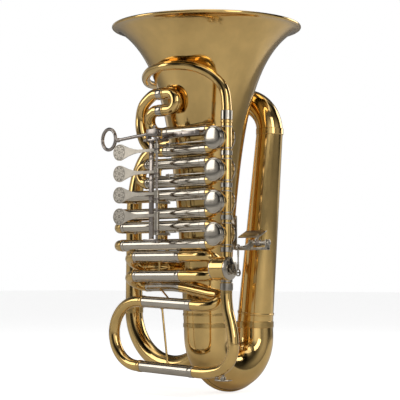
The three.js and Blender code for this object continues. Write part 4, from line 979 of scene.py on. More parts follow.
# ---- Fifth valve and front loop ----
def fifth_valve_pieces(ribs):
    piece = Piece(40)
    knuckle = line(vec(FIFTH_X, PORT_Y, FIFTH_Z - 26), vec(FIFTH_X, PORT_Y, FIFTH_Z + 30.2), 8)
    piece.tube(knuckle, KNUCKLE, brass())
    bore = Piece()
    bore.rod(vec(FIFTH_LEFT - 2, FIFTH_Y, FIFTH_Z), vec(FIFTH_RIGHT - 4, FIFTH_Y, FIFTH_Z), CASING_BORE,
             brass(), 64, 0)
    piece.cut(bore)
    piece.ferrule(knuckle, 21 + 22, 4, KNUCKLE, nickel(), lift=1.2)
    piece.ferrule(knuckle, 1, 7, KNUCKLE, nickel(), lift=1.2)
    long = FIFTH_RIGHT - FIFTH_LEFT
    profile = [(CASING_BORE + 0.1, 0), (21.6, 0), (22, 0.4), (22, 2.6), (21.5, 3), (21.5, long - 3),
               (22, long - 2.6),
               (22, long - 0.6), (21.4, long), (4.8, long), (4.8, long - 4), (CASING_BORE + 0.1, long - 4)]
    piece.turned(profile, vec(FIFTH_LEFT, FIFTH_Y, FIFTH_Z), RIGHT, brass(), 72)
    piece.make("Valve_casing_5", "instrument", "valve_casing_5")
    cap = Piece()
    profile = [(4.8, 0), (20.5, 0), (21, 0.4), (21, 1.2), (20.6, 1.5), (21, 1.8), (21, 2.7), (20.2, 3.2),
               (4.8, 3.2)]
    cap.turned(profile, vec(FIFTH_RIGHT + GAP, FIFTH_Y, FIFTH_Z), RIGHT, nickel(), 72)
    cap.make("Valve_cap_5", "instrument", "valve_cap_5", slot="nickel")
    cover = Piece()
    profile = [(4.6, -3.9), (18.6, -3.9), (18.6, 0), (20.5, 0), (21, 0.4), (21, 2.3), (20.5, 2.7), (9, 2.7),
               (8.6, 2.2),
               (0, 2.4), (0, 0.2), (4.6, 0.2)]
    cover.turned(profile, vec(FIFTH_LEFT - GAP, FIFTH_Y, FIFTH_Z), LEFT, nickel(), 72)
    knurl(cover, vec(FIFTH_LEFT - GAP - 1.3, FIFTH_Y, FIFTH_Z), LEFT, 20.8, (1.4, 0.9, 0.8), ribs, nickel())
    cover.make("Valve_back_cover_5", "instrument", "valve_back_cover_5", slot="nickel")


TILT = math.radians(2.6)
LOOP_HEADING = vec(-math.cos(TILT), 0, math.sin(TILT))
LOOP_UP = vec(math.sin(TILT), 0, math.cos(TILT))
LOOP_START = vec(42, PORT_Y, 45)
LOOP_LOW = LOOP_START + LOOP_HEADING * 125
LOOP_HIGH = LOOP_LOW + LOOP_UP * 124
LOOP_BACK = LOOP_HIGH - LOOP_HEADING * 107
NIPPLE_X = FIFTH_X - 23
KEY = vec(NIPPLE_X + 15, PORT_Y, 35.5)


def loop_pieces():
    slide_piece("Loop_slide", "loop_slide", [LOOP_LOW, LOOP_HIGH], LOOP_HEADING, 14, 50, 9)
    x, z = FIFTH_X, FIFTH_Z
    foot = vec(x, PORT_Y, z - 26.3)
    down = spline(foot, row(x, z - 55), row(x + 3, z - 78), row(x + 10, z - 102), row(x + 15, z - 127),
                  row(x + 15, z - 149), row(x + 7, z - 170), row(x - 11, z - 185), row(x - 33, z - 191),
                  LOOP_START - LOOP_HEADING * 24, LOOP_START)
    path = chain(down, line(LOOP_START, LOOP_LOW, 16))
    total = marks(path)[-1]
    piece = Piece(36)
    piece.tube(path, SLIDE, brass(), SLIDE_WALL)
    piece.ferrule(path, 0, 14, SLIDE, nickel(), lift=1.3)
    piece.tube(part(path, total - 122, total)[0], SLIDE + 0.15, nickel(), 0.5)
    piece.ferrule(path, total - 130, 12, SLIDE, nickel())
    before = -(bell_reach(MAIN_LOW) + SLIDE + 4)
    back = spline(
        LOOP_BACK, LOOP_BACK - LOOP_HEADING * 40, vec(LOOP_BACK.x + 58, PORT_Y + 5, LOOP_BACK.z + 1),
        vec(LOOP_BACK.x + 64, PORT_Y + 15, LOOP_BACK.z + 9),
        vec(LOOP_BACK.x + 56, before - 2, LOOP_BACK.z + 17),
        vec(LOOP_BACK.x + 30, before, LOOP_BACK.z + 21), vec(-10, before + 1, MAIN_LOW - MAIN_DROP - 2),
        vec(-38, MAIN_BACK - 3, MAIN_LOW - MAIN_DROP), main_back(-58, MAIN_LOW), main_back(-62, MAIN_LOW))
    path = chain(line(LOOP_HIGH, LOOP_BACK, 14), back,
                 line(main_back(-62, MAIN_LOW), main_back(MAIN_MOUTH, MAIN_LOW)))
    total = marks(path)[-1]
    piece.tube(path, SLIDE, brass(), SLIDE_WALL)
    piece.tube(part(path, 0, 112)[0], SLIDE + 0.15, nickel(), 0.5)
    piece.ferrule(path, 108, 12, SLIDE, nickel())
    piece.ferrule(path, total - 8.2, 8, SLIDE, nickel())
    piece.tube(part(path, total - 92, total - 9)[0], SLIDE + 0.15, nickel(), 0.5)
    brace(piece, LOOP_LOW - LOOP_HEADING * 65, LOOP_HIGH - LOOP_HEADING * 43)
    brace(piece, main_back(-76, MAIN_LOW), LOOP_HIGH - LOOP_HEADING * 71, 1.8, 18)
    piece.rod(row(NIPPLE_X, 40), row(NIPPLE_X, 35), 3, nickel())
    piece.block(KEY + vec(-2, -2, -2), vec(KEY.x + 2, PORT_Y + 2, 45), nickel())
    piece.rod(KEY - vec(0, 6, 0), KEY + vec(0, 6, 0), 1.1, nickel())
    piece.make("Loop_tubes", "instrument", "loop_tubes")


def water_key_piece():
    piece = Piece()
    tail = spline(vec(NIPPLE_X - 4, PORT_Y, 31.8), vec(KEY.x - 2, PORT_Y, 31.8),
                  vec(KEY.x + 11, PORT_Y, 32.4),
                  vec(KEY.x + 18, PORT_Y, 33.2))
    piece.tube(tail, lambda t: 1.3 + 0.5 * math.sin(math.pi * t), nickel(), 0, 20)
    for side in (-1, 1):
        piece.block(vec(KEY.x - 3.5, PORT_Y + side * 3.4 - 1, 31.2),
                    vec(KEY.x + 3.5, PORT_Y + side * 3.4 + 1, 34),
                    nickel(), 0.4)
        eye = [(1.4, -1), (3.2, -1), (3.4, -0.7), (3.4, 0.7), (3.2, 1), (1.4, 1)]
        piece.turned(eye, KEY + vec(0, side * 3.4, 0), vec(0, 1, 0), nickel(), 32)
    piece.block(vec(KEY.x - 3.4, PORT_Y - 4.2, 31.2), vec(KEY.x + 3.4, PORT_Y + 4.2, 32.6), nickel(), 0.4)
    cup = [(0, 0), (4.1, 0), (4.3, 0.3), (4.3, 1.6), (3.9, 1.6), (3.9, 1), (0, 1)]
    piece.turned(cup, vec(NIPPLE_X, PORT_Y, 32), UP, nickel(), 40)
    piece.turned([(0, 1.05), (3.8, 1.05), (3.8, 2.4), (3.5, 2.6), (0, 2.6)], vec(NIPPLE_X, PORT_Y, 32), UP,
                 cork(), 40)
    paddle = [(0, -0.7), (3.4, -0.7), (4, -0.3), (4, 0.3), (3.4, 0.7), (0, 0.7)]
    piece.turned(paddle, vec(KEY.x + 16.5, PORT_Y, 33.2), UP, nickel(), 40)
    piece.make("Water_key", "water_key", "water_key", slot="nickel")


# ---- Levers ----
def engraved_nickel():
    """Satin plate with a petal rosette drawn from the plate's own map."""
    done = bpy.data.materials.get("Engraved nickel silver")
    if done:
        return done
    finish = satin_nickel().copy()
    finish.name = "Engraved nickel silver"
    nodes = finish.node_tree.nodes
    link = finish.node_tree.links.new
    shader = nodes["Principled BSDF"]

    def maths(operation, first, second=None):
        node = nodes.new("ShaderNodeMath")
        node.operation = operation
        for slot_number, value in enumerate((first, second)):
            if value is None:
                continue
            if isinstance(value, (int, float)):
                node.inputs[slot_number].default_value = value
            else:
                link(value, node.inputs[slot_number])
        return node.outputs[0]
    chart = nodes.new("ShaderNodeUVMap")
    chart.uv_map = "Rosette"
    split = nodes.new("ShaderNodeSeparateXYZ")
    link(chart.outputs["UV"], split.inputs["Vector"])
    x, y = split.outputs["X"], split.outputs["Y"]
    away = maths("SQRT", maths("ADD", maths("MULTIPLY", x, x), maths("MULTIPLY", y, y)))
    angle = maths("ARCTAN2", y, x)
    petals = bpy.context.scene.tuba_sizes.petals
    petal = maths("ABSOLUTE", maths("SINE", maths("MULTIPLY", angle, petals / 2)))
    edge = maths("ABSOLUTE", maths("SUBTRACT", away, maths("ADD", maths("MULTIPLY", petal, 0.42), 0.3)))
    outline = maths("LESS_THAN", edge, 0.055)
    rim = maths("LESS_THAN", maths("ABSOLUTE", maths("SUBTRACT", away, 0.86)), 0.03)
    heart = maths("LESS_THAN", maths("ABSOLUTE", maths("SUBTRACT", away, 0.14)), 0.04)
    mark = maths("MAXIMUM", maths("MAXIMUM", outline, rim), heart)
    darker = nodes.new("ShaderNodeMix")
    darker.data_type = "RGBA"
    base = shader.inputs["Base Color"].links[0].from_socket
    link(mark, darker.inputs["Factor"])
    link(base, darker.inputs["A"])
    darker.inputs["B"].default_value = (0.1, 0.09, 0.08, 1)
    link(darker.outputs["Result"], shader.inputs["Base Color"])
    groove = nodes.new("ShaderNodeBump")
    groove.invert = True
    groove.inputs["Strength"].default_value = 0.5
    groove.inputs["Distance"].default_value = 0.0003
    link(mark, groove.inputs["Height"])
    link(shader.inputs["Normal"].links[0].from_socket, groove.inputs["Normal"])
    link(groove.outputs["Normal"], shader.inputs["Normal"])
    return finish


def paddle_form(piece, z):
    """A round finger plate that narrows into its arm, with softened edges."""
    outline = []
    lean = math.radians(68)
    for i in range(33):
        angle = mix(lean, math.tau - lean, i / 32)
        outline.append((PADDLE_X + 15.8 * math.cos(angle), 15.8 * math.sin(angle)))
    waist = [(PADDLE_X + 22, -8.4), (PADDLE_X + 34, -4.6), (PADDLE_X + 46, -3.1), (-4, -2.9)]
    outline += waist + [(x, -side) for x, side in reversed(waist)]
    form = bmesh.new()
    front = AXLE_Y - 1
    lower = [form.verts.new((x * MM, (front - 2.4) * MM, (z + up) * MM)) for x, up in outline]
    upper = [form.verts.new((x * MM, front * MM, (z + up) * MM)) for x, up in outline]
    form.faces.new(lower)
    form.faces.new(list(reversed(upper)))
    for i in range(len(outline)):
        j = (i + 1) % len(outline)
        form.faces.new((lower[i], upper[i], upper[j], lower[j]))
    rims = [edge for edge in form.edges if len({round(v.co.y, 6) for v in edge.verts}) == 1]
    bmesh.ops.bevel(form, geom=rims, offset=0.6 * MM, segments=3, affect="EDGES", profile=0.6)
    piece.keep(form, engraved_nickel())


def lever_piece(number):
    link_z = VALVE_Z[number - 1] + ARM_SIGNS[number - 1] * LINK
    paddle_z = PADDLE_Z[number - 1]
    low = min(link_z - 6.5, paddle_z - 6)
    high = max(link_z - 2.5, paddle_z + 6)
    piece = Piece()
    paddle_form(piece, paddle_z)
    span = high - low
    profile = [(2.9, 0), (HUB - 0.4, 0), (HUB, 0.4), (HUB, 2.6), (HUB - 0.9, 3), (HUB - 0.9, span - 3),
               (HUB, span - 2.6),
               (HUB, span - 0.4), (HUB - 0.4, span), (2.9, span)]
    piece.turned(profile, vec(0, AXLE_Y, low), UP, satin_nickel(), 40)
    turns = 5
    coil = [vec(5.2 * math.cos(math.tau * i / 16), AXLE_Y + 5.2 * math.sin(math.tau * i / 16),
                low + 4 + i * 0.07)
            for i in range(16 * turns)]
    if span > 16:
        piece.tube(coil, 0.5, dark_nickel(), 0, 10)
    piece.block(vec(-2.6, AXLE_Y + 2.8, link_z - 6.5), vec(2.6, LINK_Y, link_z - 2.5), satin_nickel(), 0.6)
    piece.turned([(0, 0), (3.1, 0), (3.4, 0.3), (3.4, 3.7), (3.1, 4), (0, 4)], vec(0, LINK_Y, link_z - 6.5),
                 UP,
                 satin_nickel(), 32)
    piece.rod(vec(0, LINK_Y, link_z - 3), vec(0, LINK_Y, link_z + 2.5), 1.5, dark_nickel())
    bore = Piece()
    bore.rod(vec(0, AXLE_Y, low - 1), vec(0, AXLE_Y, high + 1), 2.75, satin_nickel(), 32, 0)
    piece.cut(bore)
    thing = piece.make(f"Lever_{number}", f"lever_{number}", f"lever_{number}", slot="nickel")
    chart = thing.data.uv_layers.new(name="Rosette")
    for loop in thing.data.loops:
        place = thing.data.vertices[loop.vertex_index].co / MM
        chart.data[loop.index].uv = ((place.x - PADDLE_X) / PADDLE, (place.z - paddle_z) / PADDLE)


def link_rod_form(piece, start, end, first_axis, last_axis, first_hole, last_hole):
    way = (end - start).normalized()
    for centre, axis, hole in ((start, first_axis, first_hole), (end, last_axis, last_hole)):
        ring = [(hole, -1.5), (hole + 1.3, -1.5), (hole + 1.7, -1.1), (hole + 1.7, 1.1), (hole + 1.3, 1.5),
                (hole, 1.5)]
        piece.turned(ring, centre, axis, satin_nickel(), 32)
    a, b = start + way * (first_hole + 0.6), end - way * (last_hole + 0.6)
    piece.rod(a, b, 1.3, nickel())
    piece.rod(a, a + way * 11, 1.9, satin_nickel())
    piece.rod(b - way * 11, b, 1.9, satin_nickel())
    for at in (a + way * 12, b - way * 13.4):
        piece.rod(at, at + way * 1.4, 2.1, dark_nickel(), 6, 0)


def link_pieces():
    for number in range(1, 5):
        z = VALVE_Z[number - 1] + ARM_SIGNS[number - 1] * LINK
        piece = Piece()
        link_rod_form(piece, vec(0, LINK_Y, z), vec(VALVE_X - LINK, LINK_Y, z), UP, vec(0, 1, 0), 4.0, 4.4)
        piece.make(f"Link_rod_{number}", f"link_rod_{number}", f"link_rod_{number}", slot="nickel")
    axle = Piece()
    high, low = VALVE_Z[0] - 3, VALVE_Z[3] + LINK - 14
    axle.rod(vec(0, AXLE_Y, low - 8), vec(0, AXLE_Y, high + 7.5), AXLE, dark_nickel(), 32)
    axle.turned([(0, 0), (5.2, 0), (5.6, 0.4), (5.6, 2.8), (5.0, 3.2), (0.8, 3.2), (0.8, 2.6), (0, 2.6)],
                vec(0, AXLE_Y, high + 4.3), UP, dark_nickel(), 40)
    axle.turned([(0, 0), (4.8, 0), (5.6, 0.8), (5.6, 3.7), (0, 3.7)], vec(0, AXLE_Y, low - 8), UP,
                dark_nickel(), 40)
    axle.make("Lever_axle", "instrument", "lever_axle", slot="dark_nickel")


RING = vec(-122, AXLE_Y, VALVE_Z[0] + 7)
RING_START = vec(RING.x + 20, AXLE_Y, VALVE_Z[0] + 3.8)
RING_END = vec(10, AXLE_Y, VALVE_Z[0] + 14.6)


def lever_frame_piece():
    top, low = VALVE_Z[0] - 3, VALVE_Z[3] + LINK - 14
    rail_x, rail_y = -25, AXLE_Y + 13.5
    left, clamp = rail_x - 5, -22
    dark = dark_nickel()
    piece = Piece()
    piece.block(vec(left, rail_y - 2, low - 4), vec(rail_x + 5, rail_y + 2, top + 4), dark, 0.8)
    for z in PADDLE_Z:
        piece.rod(vec(rail_x, rail_y - 3, z - 14), vec(rail_x, rail_y - 1, z - 14), 2.4, satin_nickel(), 24,
                  0.6)
    piece.block(vec(left, AXLE_Y - 5, top), vec(6, LINK_Y - 8, top + 4), dark)
    piece.block(vec(left, AXLE_Y - 5, low - 4), vec(6, rail_y + 3, low), dark)
    piece.block(vec(-6, LINK_Y - 12, top + 8), vec(VALVE_X - CASING - 2, LINK_Y - 8, top + 17), dark, 0.8)
    piece.block(vec(-6, LINK_Y - 12, top), vec(6, LINK_Y - 8, top + 10), dark, 0.8)
    front = PORT_Y - SLIDE - 0.1
    for at in (40, 74):
        piece.rod(vec(at, LINK_Y - 9, VALVE_Z[0] + PORT - 4), vec(at, front, VALVE_Z[0] + PORT - 4), 3, dark)
        piece.rod(vec(at, LINK_Y - 13, VALVE_Z[0] + 9.5), vec(at, LINK_Y - 11.5, VALVE_Z[0] + 9.5), 2.6, dark)
    piece.rod(vec(-8, rail_y, low - 2), vec(-8, front, low - 4), 2.6, dark)
    piece.block(vec(clamp, AXLE_Y - 5, top), vec(clamp + 4, AXLE_Y + 6, top + 23), dark)
    piece.block(vec(clamp, AXLE_Y - 6, top + 9), vec(6, AXLE_Y + 6, top + 23), dark, 1.0)
    piece.rod(vec(-6, AXLE_Y, top + 22), vec(-6, AXLE_Y, top + 26), 2.4, dark)
    piece.rod(vec(-6, AXLE_Y, top + 26), vec(-6, AXLE_Y, top + 30), 3.6, dark, 28, 0.8)
    tool = Piece()
    way = (RING_END - RING_START).normalized()
    tool.rod(RING_START, RING_END + way * 10, 3.5, dark, 32, 0)
    tool.rod(vec(0, AXLE_Y, low - 9), vec(0, AXLE_Y, top + 8.5), 2.7, dark, 32, 0)
    piece.cut(tool)
    piece.make("Lever_frame", "instrument", "lever_frame", slot="dark_nickel")


def thumb_ring_piece():
    piece = Piece()
    turn = Quaternion(UP, math.radians(-9))
    hoop = [RING + turn @ vec(20 * math.cos(math.tau * i / 72), 0, 20 * math.sin(math.tau * i / 72))
            for i in range(72)]
    form = bmesh.new()
    rings = []
    for i, centre in enumerate(hoop):
        out = (centre - RING).normalized()
        side = turn @ vec(0, 1, 0)
        rings.append([form.verts.new((centre + out * 3.3 * math.cos(math.tau * k / 20)
                                      + side * 3.3 * math.sin(math.tau * k / 20)) * MM) for k in range(20)])
    for i, ring in enumerate(rings):
        after = rings[(i + 1) % len(rings)]
        for k in range(20):
            form.faces.new((ring[k], ring[(k + 1) % 20], after[(k + 1) % 20], after[k]))
    piece.keep(form, dark_nickel())
    piece.rod(RING_START, RING_END, 3.1, dark_nickel(), 32)
    way = (RING_END - RING_START).normalized()
    piece.rod(RING_START + way * 1.5, RING_START + way * 7, 4.2, dark_nickel(), 32, 0.8)
    piece.make("Thumb_ring", "thumb_ring", "thumb_ring", slot="dark_nickel")


PIN_REACH = 11 * math.sqrt(0.5)
ROD5_X = FIFTH_RIGHT + 15
PIN5_Y = FIFTH_Y + PIN_REACH
TIP5_Z = FIFTH_Z + 39
HINGE_Y = PIN5_Y + 28
HINGE_Z = TIP5_Z + PIN_REACH
BARREL = ROD5_X + 9.3


def fifth_lever_pieces():
    piece = Piece()
    hinge = vec(BARREL, HINGE_Y, HINGE_Z)
    profile = [(2.8, 0), (4.6, 0), (5, 0.4), (5, 4), (4.4, 4.6), (4.4, 10), (5, 10.6), (5, 22), (4.4, 22.6),
               (4.4, 28), (5, 28.6), (5, 33.6), (4.6, 34), (2.8, 34)]
    piece.turned(profile, hinge, RIGHT, satin_nickel(), 40)
    arm = spline(hinge + vec(3, -4.5, 0), hinge + vec(2.2, -12, -1.5),
                 vec(BARREL + 0.6, PIN5_Y + 8, TIP5_Z + 1),
                 vec(BARREL, PIN5_Y, TIP5_Z))
    piece.tube(arm, lambda t: mix(2.6, 2.1, t), satin_nickel(), 0, 20)
    piece.ball(vec(BARREL, PIN5_Y, TIP5_Z), 2.5, satin_nickel())
    piece.rod(vec(BARREL + 1, PIN5_Y, TIP5_Z), vec(ROD5_X - 2.5, PIN5_Y, TIP5_Z), 1.5, dark_nickel())
    tilt = Matrix.Rotation(math.radians(25), 3, "X")
    middle = vec(BARREL - 14, HINGE_Y + 21, HINGE_Z + 17)
    piece.block(middle - vec(24, 14.5, 1.5), middle + vec(24, 14.5, 1.5), satin_nickel(), 1.2, tilt)
    stem = spline(hinge + vec(5, 3.5, 3), hinge + vec(4.6, 9, 8), hinge + vec(3.4, 16, 14.4))
    piece.tube(stem, 3.2, satin_nickel(), 0, 20)
    coil = [hinge + vec(11 + i * 0.07, 5.2 * math.cos(math.tau * i / 16), 5.2 * math.sin(math.tau * i / 16))
            for i in range(16 * 9)]
    piece.tube(coil, 0.5, dark_nickel(), 0, 10)
    bore = Piece()
    bore.rod(hinge - RIGHT, hinge + RIGHT * 35, 2.75, satin_nickel(), 32, 0)
    piece.cut(bore)
    piece.make("Lever_5", "lever_5", "lever_5", slot="nickel")

    bracket = Piece()
    plate_y = VALVE_BACK + 9
    near, far = BARREL - 4.3, BARREL + 34.3
    finish = satin_nickel()
    bracket.block(vec(FIFTH_X - 4, plate_y - 3, HINGE_Z - 12), vec(FIFTH_X + 8, plate_y, HINGE_Z + 51),
                  finish, 0.8)
    bracket.block(vec(FIFTH_X + 4, HINGE_Y - 5, HINGE_Z - 13), vec(near + 2, HINGE_Y + 1, HINGE_Z - 6),
                  finish, 0.8)
    bracket.block(vec(near, HINGE_Y - 4, HINGE_Z - 13), vec(far + 4, HINGE_Y + 4, HINGE_Z - 8), finish, 0.8)
    for x in (near, far):
        bracket.block(vec(x, HINGE_Y - 6, HINGE_Z - 13), vec(x + 4, HINGE_Y + 6, HINGE_Z + 6), finish, 1.0)
    bracket.rod(vec(near, HINGE_Y, HINGE_Z), vec(far + 6, HINGE_Y, HINGE_Z), 2.4, dark_nickel(), 32)
    bracket.rod(vec(far + 3, HINGE_Y, HINGE_Z), vec(far + 7, HINGE_Y, HINGE_Z), 5, finish, 32, 0.8)
    for z in (HINGE_Z + 6, HINGE_Z + 44):
        bracket.rod(vec(FIFTH_X + 2, plate_y - 0.2, z), vec(FIFTH_X + 2, plate_y + 1.6, z), 2.6,
                    dark_nickel(), 28, 0.6)
    bracket.make("Lever_5_bracket", "instrument", "lever_5_bracket", slot="nickel")

    rod = Piece()
    link_rod_form(rod, vec(ROD5_X, PIN5_Y, FIFTH_Z - PIN_REACH), vec(ROD5_X, PIN5_Y, TIP5_Z), RIGHT, RIGHT,
                  5.0, 3.4)
    rod.make("Link_rod_5", "link_rod_5", "link_rod_5", slot="nickel")


# ---- Camera and stage ----
def place_camera():
    data = bpy.data.cameras.new("Camera")
    data.sensor_width = 36.0
    data.lens = CAMERA_LENS
    data.clip_end = 60.0
    camera = bpy.data.objects.new("Camera", data)
    bpy.context.scene.collection.objects.link(camera)
    turn = CAMERA_TURN + CAMERA_PAN
    forward = vec(-math.sin(turn) * math.cos(CAMERA_PITCH), math.cos(turn) * math.cos(CAMERA_PITCH),
                  math.sin(CAMERA_PITCH))
    camera.location = vec(CAMERA_DISTANCE * math.sin(CAMERA_TURN), -CAMERA_DISTANCE * math.cos(CAMERA_TURN),
                          CAMERA_HEIGHT) * MM
    camera.rotation_euler = forward.to_track_quat("-Z", "Y").to_euler()
    bpy.context.scene.camera = camera


def area_light(name, place, aim, size, power, tall=None):
    data = bpy.data.lights.new(name, "AREA")
    data.shape = "RECTANGLE"
    data.size = size
    data.size_y = tall or size
    data.energy = power
    lamp = bpy.data.objects.new(name, data)
    bpy.context.scene.collection.objects.link(lamp)
    lamp.location = place
    lamp.rotation_euler = (Vector(aim) - Vector(place)).to_track_quat("-Z", "Y").to_euler()


def ramp(tree, value, stops):
    """A colour ramp of grey levels over a value; levels over 1 are kept by scaling."""
    top = max(level for _, level in stops)
    bands = tree.nodes.new("ShaderNodeValToRGB")
    elements = bands.color_ramp.elements
    while len(elements) < len(stops):
        elements.new(0.5)
    for element, (position, level) in zip(elements, stops):
        element.position = position
        element.color = (level / top, level / top, level / top, 1)
    tree.links.new(value, bands.inputs["Fac"])
    scale = tree.nodes.new("ShaderNodeMath")
    scale.operation = "MULTIPLY"
    scale.inputs[1].default_value = top
    tree.links.new(bands.outputs["Color"], scale.inputs[0])
    return scale.outputs[0]


def sky():
    """Soft light and dark bands for the metal to reflect; the camera itself sees plain white."""
    world = bpy.data.worlds.new("Studio")
    bpy.context.scene.world = world
    world.use_nodes = True
    nodes = world.node_tree.nodes
    link = world.node_tree.links.new
    place = nodes.new("ShaderNodeTexCoord")
    split = nodes.new("ShaderNodeSeparateXYZ")
    link(place.outputs["Generated"], split.inputs["Vector"])
    angle = nodes.new("ShaderNodeMath")
    angle.operation = "ARCTAN2"
    link(split.outputs["Y"], angle.inputs[0])
    link(split.outputs["X"], angle.inputs[1])
    share = nodes.new("ShaderNodeMapRange")
    share.inputs["From Min"].default_value = -math.pi
    share.inputs["From Max"].default_value = math.pi
    link(angle.outputs[0], share.inputs["Value"])
    around = ramp(world.node_tree, share.outputs["Result"], (
        (0.0, 0.3), (0.07, 0.5), (0.13, 0.42), (0.18, 0.3), (0.215, 0.03), (0.29, 0.02), (0.325, 0.55),
        (0.37, 1.0),
        (0.43, 0.8), (0.47, 0.2), (0.53, 0.5), (0.58, 0.35), (0.62, 0.03), (0.67, 0.03), (0.71, 0.7),
        (0.8, 0.25),
        (0.88, 0.05), (0.94, 0.6), (1.0, 0.3)))
    height = ramp(world.node_tree, split.outputs["Z"], (
        (0.0, 1.0), (0.3, 0.85), (0.45, 0.4), (0.6, 0.12), (0.75, 0.15), (0.9, 0.9), (1.0, 1.2)))
    level = nodes.new("ShaderNodeMath")
    level.operation = "MULTIPLY"
    link(around, level.inputs[0])
    link(height, level.inputs[1])
    seen = nodes.new("ShaderNodeLightPath")
    choose = nodes.new("ShaderNodeMath")
    choose.operation = "MAXIMUM"
    link(level.outputs[0], choose.inputs[0])
    link(seen.outputs["Is Camera Ray"], choose.inputs[1])
    link(choose.outputs[0], nodes["Background"].inputs["Strength"])
    nodes["Background"].inputs["Color"].default_value = (1, 1, 1, 1)


def studio(floor_size, floor_colour):
    """A pale floor and four softboxes under the sky."""
    floor_mesh = bpy.data.meshes.new("Floor")
    half = floor_size / 2
    z = -FLOOR_DROP * MM
    floor_mesh.from_pydata([(-half, -half, z), (half, -half, z), (half, half, z), (-half, half, z)], [],
                           [(0, 1, 2, 3)])
    floor = bpy.data.objects.new("Floor", floor_mesh)
    bpy.context.scene.collection.objects.link(floor)
    paint = plain("Pale floor", tuple(floor_colour), shade(floor_colour, 0.97), 0.7, 3)
    seen = paint.node_tree.nodes.new("ShaderNodeLightPath")
    glow = paint.node_tree.nodes.new("ShaderNodeMath")
    glow.operation = "MULTIPLY"
    glow.inputs[1].default_value = FLOOR_GLOW
    paint.node_tree.links.new(seen.outputs["Is Camera Ray"], glow.inputs[0])
    surface = paint.node_tree.nodes["Principled BSDF"]
    surface.inputs["Emission Color"].default_value = (1, 1, 1, 1)
    paint.node_tree.links.new(glow.outputs[0], surface.inputs["Emission Strength"])
    floor_mesh.materials.append(paint)
    area_light("Left softbox", (-1.9, -2.2, 1.5), (0, 0, 0.35), 1.2, 14, 1.8)
    area_light("Right softbox", (2.6, -0.9, 1.4), (0, 0, 0.35), 0.9, 14, 1.8)
    area_light("Top softbox", (0.2, -0.2, 2.8), (0, 0, 0.3), 2.4, 16)
    area_light("Rear softbox", (0.6, 2.6, 1.4), (0, 0, 0.4), 1.4, 14)
    sky()
    bpy.context.scene.view_settings.view_transform = "Standard"


# ---- Settings ----
class TubaSizes(bpy.types.PropertyGroup):
    bell_sides: IntProperty(name="Bell sides", description="Faces round the bell", default=144, min=24,
                            max=256)
    bow_sides: IntProperty(name="Bow sides", description="Faces round the bottom bow", default=64, min=16,
                           max=96)
    cover_ribs: IntProperty(name="Cover ribs",
                            description="Knurled ribs round the back covers of valves 1 to 4",
                            default=84, min=12, max=200)
    fifth_cover_ribs: IntProperty(name="Fifth cover ribs",
                                  description="Knurled ribs round the fifth back cover",
                                  default=76, min=12, max=200)
    petals: IntProperty(name="Petals", description="Petals of the rosette on the finger plates", default=8,
                        min=2, max=24)
    floor: FloatProperty(name="Floor", description="Width of the studio floor", default=40.0, unit="LENGTH")


class TubaColours(bpy.types.PropertyGroup):
    brass: FloatVectorProperty(name="Brass", description="Lacquered brass", subtype="COLOR",
                               default=(0.80, 0.535, 0.195), min=0, max=1)
    nickel: FloatVectorProperty(name="Nickel silver", description="Slides, caps and levers", subtype="COLOR",
                                default=(0.56, 0.505, 0.42), min=0, max=1)
    dark_nickel: FloatVectorProperty(name="Dark nickel silver", description="Lever frame and thumb ring",
                                     subtype="COLOR", default=(0.40, 0.35, 0.31), min=0, max=1)
    floor: FloatVectorProperty(name="Floor", description="Studio floor", subtype="COLOR",
                               default=(0.9, 0.9, 0.9),
                               min=0, max=1)


class Maker(bpy.types.Operator):
    """Shared ground of the operators."""
    bl_options = {"REGISTER", "UNDO"}

    def execute(self, context):
        self.build(context.scene.tuba_sizes, context.scene.tuba_colours)
        return {"FINISHED"}


class TUBA_OT_camera(Maker):
    """Place the camera"""
    bl_idname = "tuba.camera"
    bl_label = "Camera"

    def build(self, sizes, colours):
        place_camera()


class TUBA_OT_stage(Maker):
    """Lay the floor and light the studio"""
    bl_idname = "tuba.stage"
    bl_label = "Stage"

    def build(self, sizes, colours):
        studio(sizes.floor, colours.floor)


class TUBA_OT_bell(Maker):
    """Turn the bell with its rolled rim"""
    bl_idname = "tuba.bell"
    bl_label = "Bell"

    def build(self, sizes, colours):
        bell_piece(sizes.bell_sides)


class TUBA_OT_branches(Maker):
    """Bend the large branches and bows and lay the guard strip"""
    bl_idname = "tuba.branches"
    bl_label = "Branches and bows"

    def build(self, sizes, colours):
        branch_pieces(sizes.bow_sides)
        guard_piece()
        left_branch_piece()


class TUBA_OT_valves(Maker):
    """Make the rotor casings, caps and back covers"""
    bl_idname = "tuba.valves"
    bl_label = "Rotor valves"

    def build(self, sizes, colours):
        for number in range(1, 5):
            casing_piece(number)
            cap_piece(number)
            back_cover_piece(number, sizes.cover_ribs)
        fifth_valve_pieces(sizes.fifth_cover_ribs)
        for number in range(1, 6):
            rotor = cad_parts[f"rotor_{number}"]
            for place in rotor.material_slots:
                place.material = nickel()


class TUBA_OT_leadpipe(Maker):
    """Wrap the leadpipe round the bell"""
    bl_idname = "tuba.leadpipe"
    bl_label = "Leadpipe"

    def build(self, sizes, colours):
        leadpipe_piece()


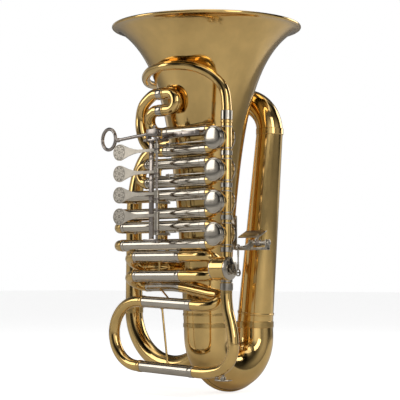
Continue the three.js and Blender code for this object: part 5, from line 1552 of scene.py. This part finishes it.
class TUBA_OT_slides(Maker):
    """Make the valve slides, the main slide and the front loop"""
    bl_idname = "tuba.slides"
    bl_label = "Slides"

    def build(self, sizes, colours):
        first_valve_pieces()
        row_pieces()
        main_slide_pieces()
        loop_pieces()


class TUBA_OT_water_key(Maker):
    """Make the water key"""
    bl_idname = "tuba.water_key"
    bl_label = "Water key"

    def build(self, sizes, colours):
        water_key_piece()


class TUBA_OT_levers(Maker):
    """Make the finger levers, their axle and the link rods"""
    bl_idname = "tuba.levers"
    bl_label = "Levers and links"

    def build(self, sizes, colours):
        for number in range(1, 5):
            lever_piece(number)
        link_pieces()
        fifth_lever_pieces()


class TUBA_OT_lever_frame(Maker):
    """Make the lever frame and the thumb ring it clamps"""
    bl_idname = "tuba.lever_frame"
    bl_label = "Lever frame and thumb ring"

    def build(self, sizes, colours):
        lever_frame_piece()
        thumb_ring_piece()


OPERATORS = (TUBA_OT_camera, TUBA_OT_bell, TUBA_OT_branches, TUBA_OT_valves, TUBA_OT_leadpipe, TUBA_OT_slides,
             TUBA_OT_water_key, TUBA_OT_levers, TUBA_OT_lever_frame, TUBA_OT_stage)


class TUBA_PT_panel(bpy.types.Panel):
    """Lists the pieces in the order they are made"""
    bl_idname = "TUBA_PT_panel"
    bl_label = "Rotary tuba"
    bl_space_type = "VIEW_3D"
    bl_region_type = "UI"
    bl_category = "Tuba"

    def draw(self, context):
        for settings in (context.scene.tuba_sizes, context.scene.tuba_colours):
            for name in settings.__annotations__:
                self.layout.prop(settings, name)
        for operator in OPERATORS:
            self.layout.operator(operator.bl_idname)


CLASSES = (TubaSizes, TubaColours, *OPERATORS, TUBA_PT_panel)


def register():
    for one in CLASSES:
        bpy.utils.register_class(one)
    bpy.types.Scene.tuba_sizes = PointerProperty(type=TubaSizes)
    bpy.types.Scene.tuba_colours = PointerProperty(type=TubaColours)


def unregister():
    del bpy.types.Scene.tuba_colours
    del bpy.types.Scene.tuba_sizes
    for one in reversed(CLASSES):
        bpy.utils.unregister_class(one)


def main():
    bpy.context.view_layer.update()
    register()
    for operator in OPERATORS:
        _, name = operator.bl_idname.split(".")
        getattr(bpy.ops.tuba, name)()


if __name__ == "__main__":
    main()
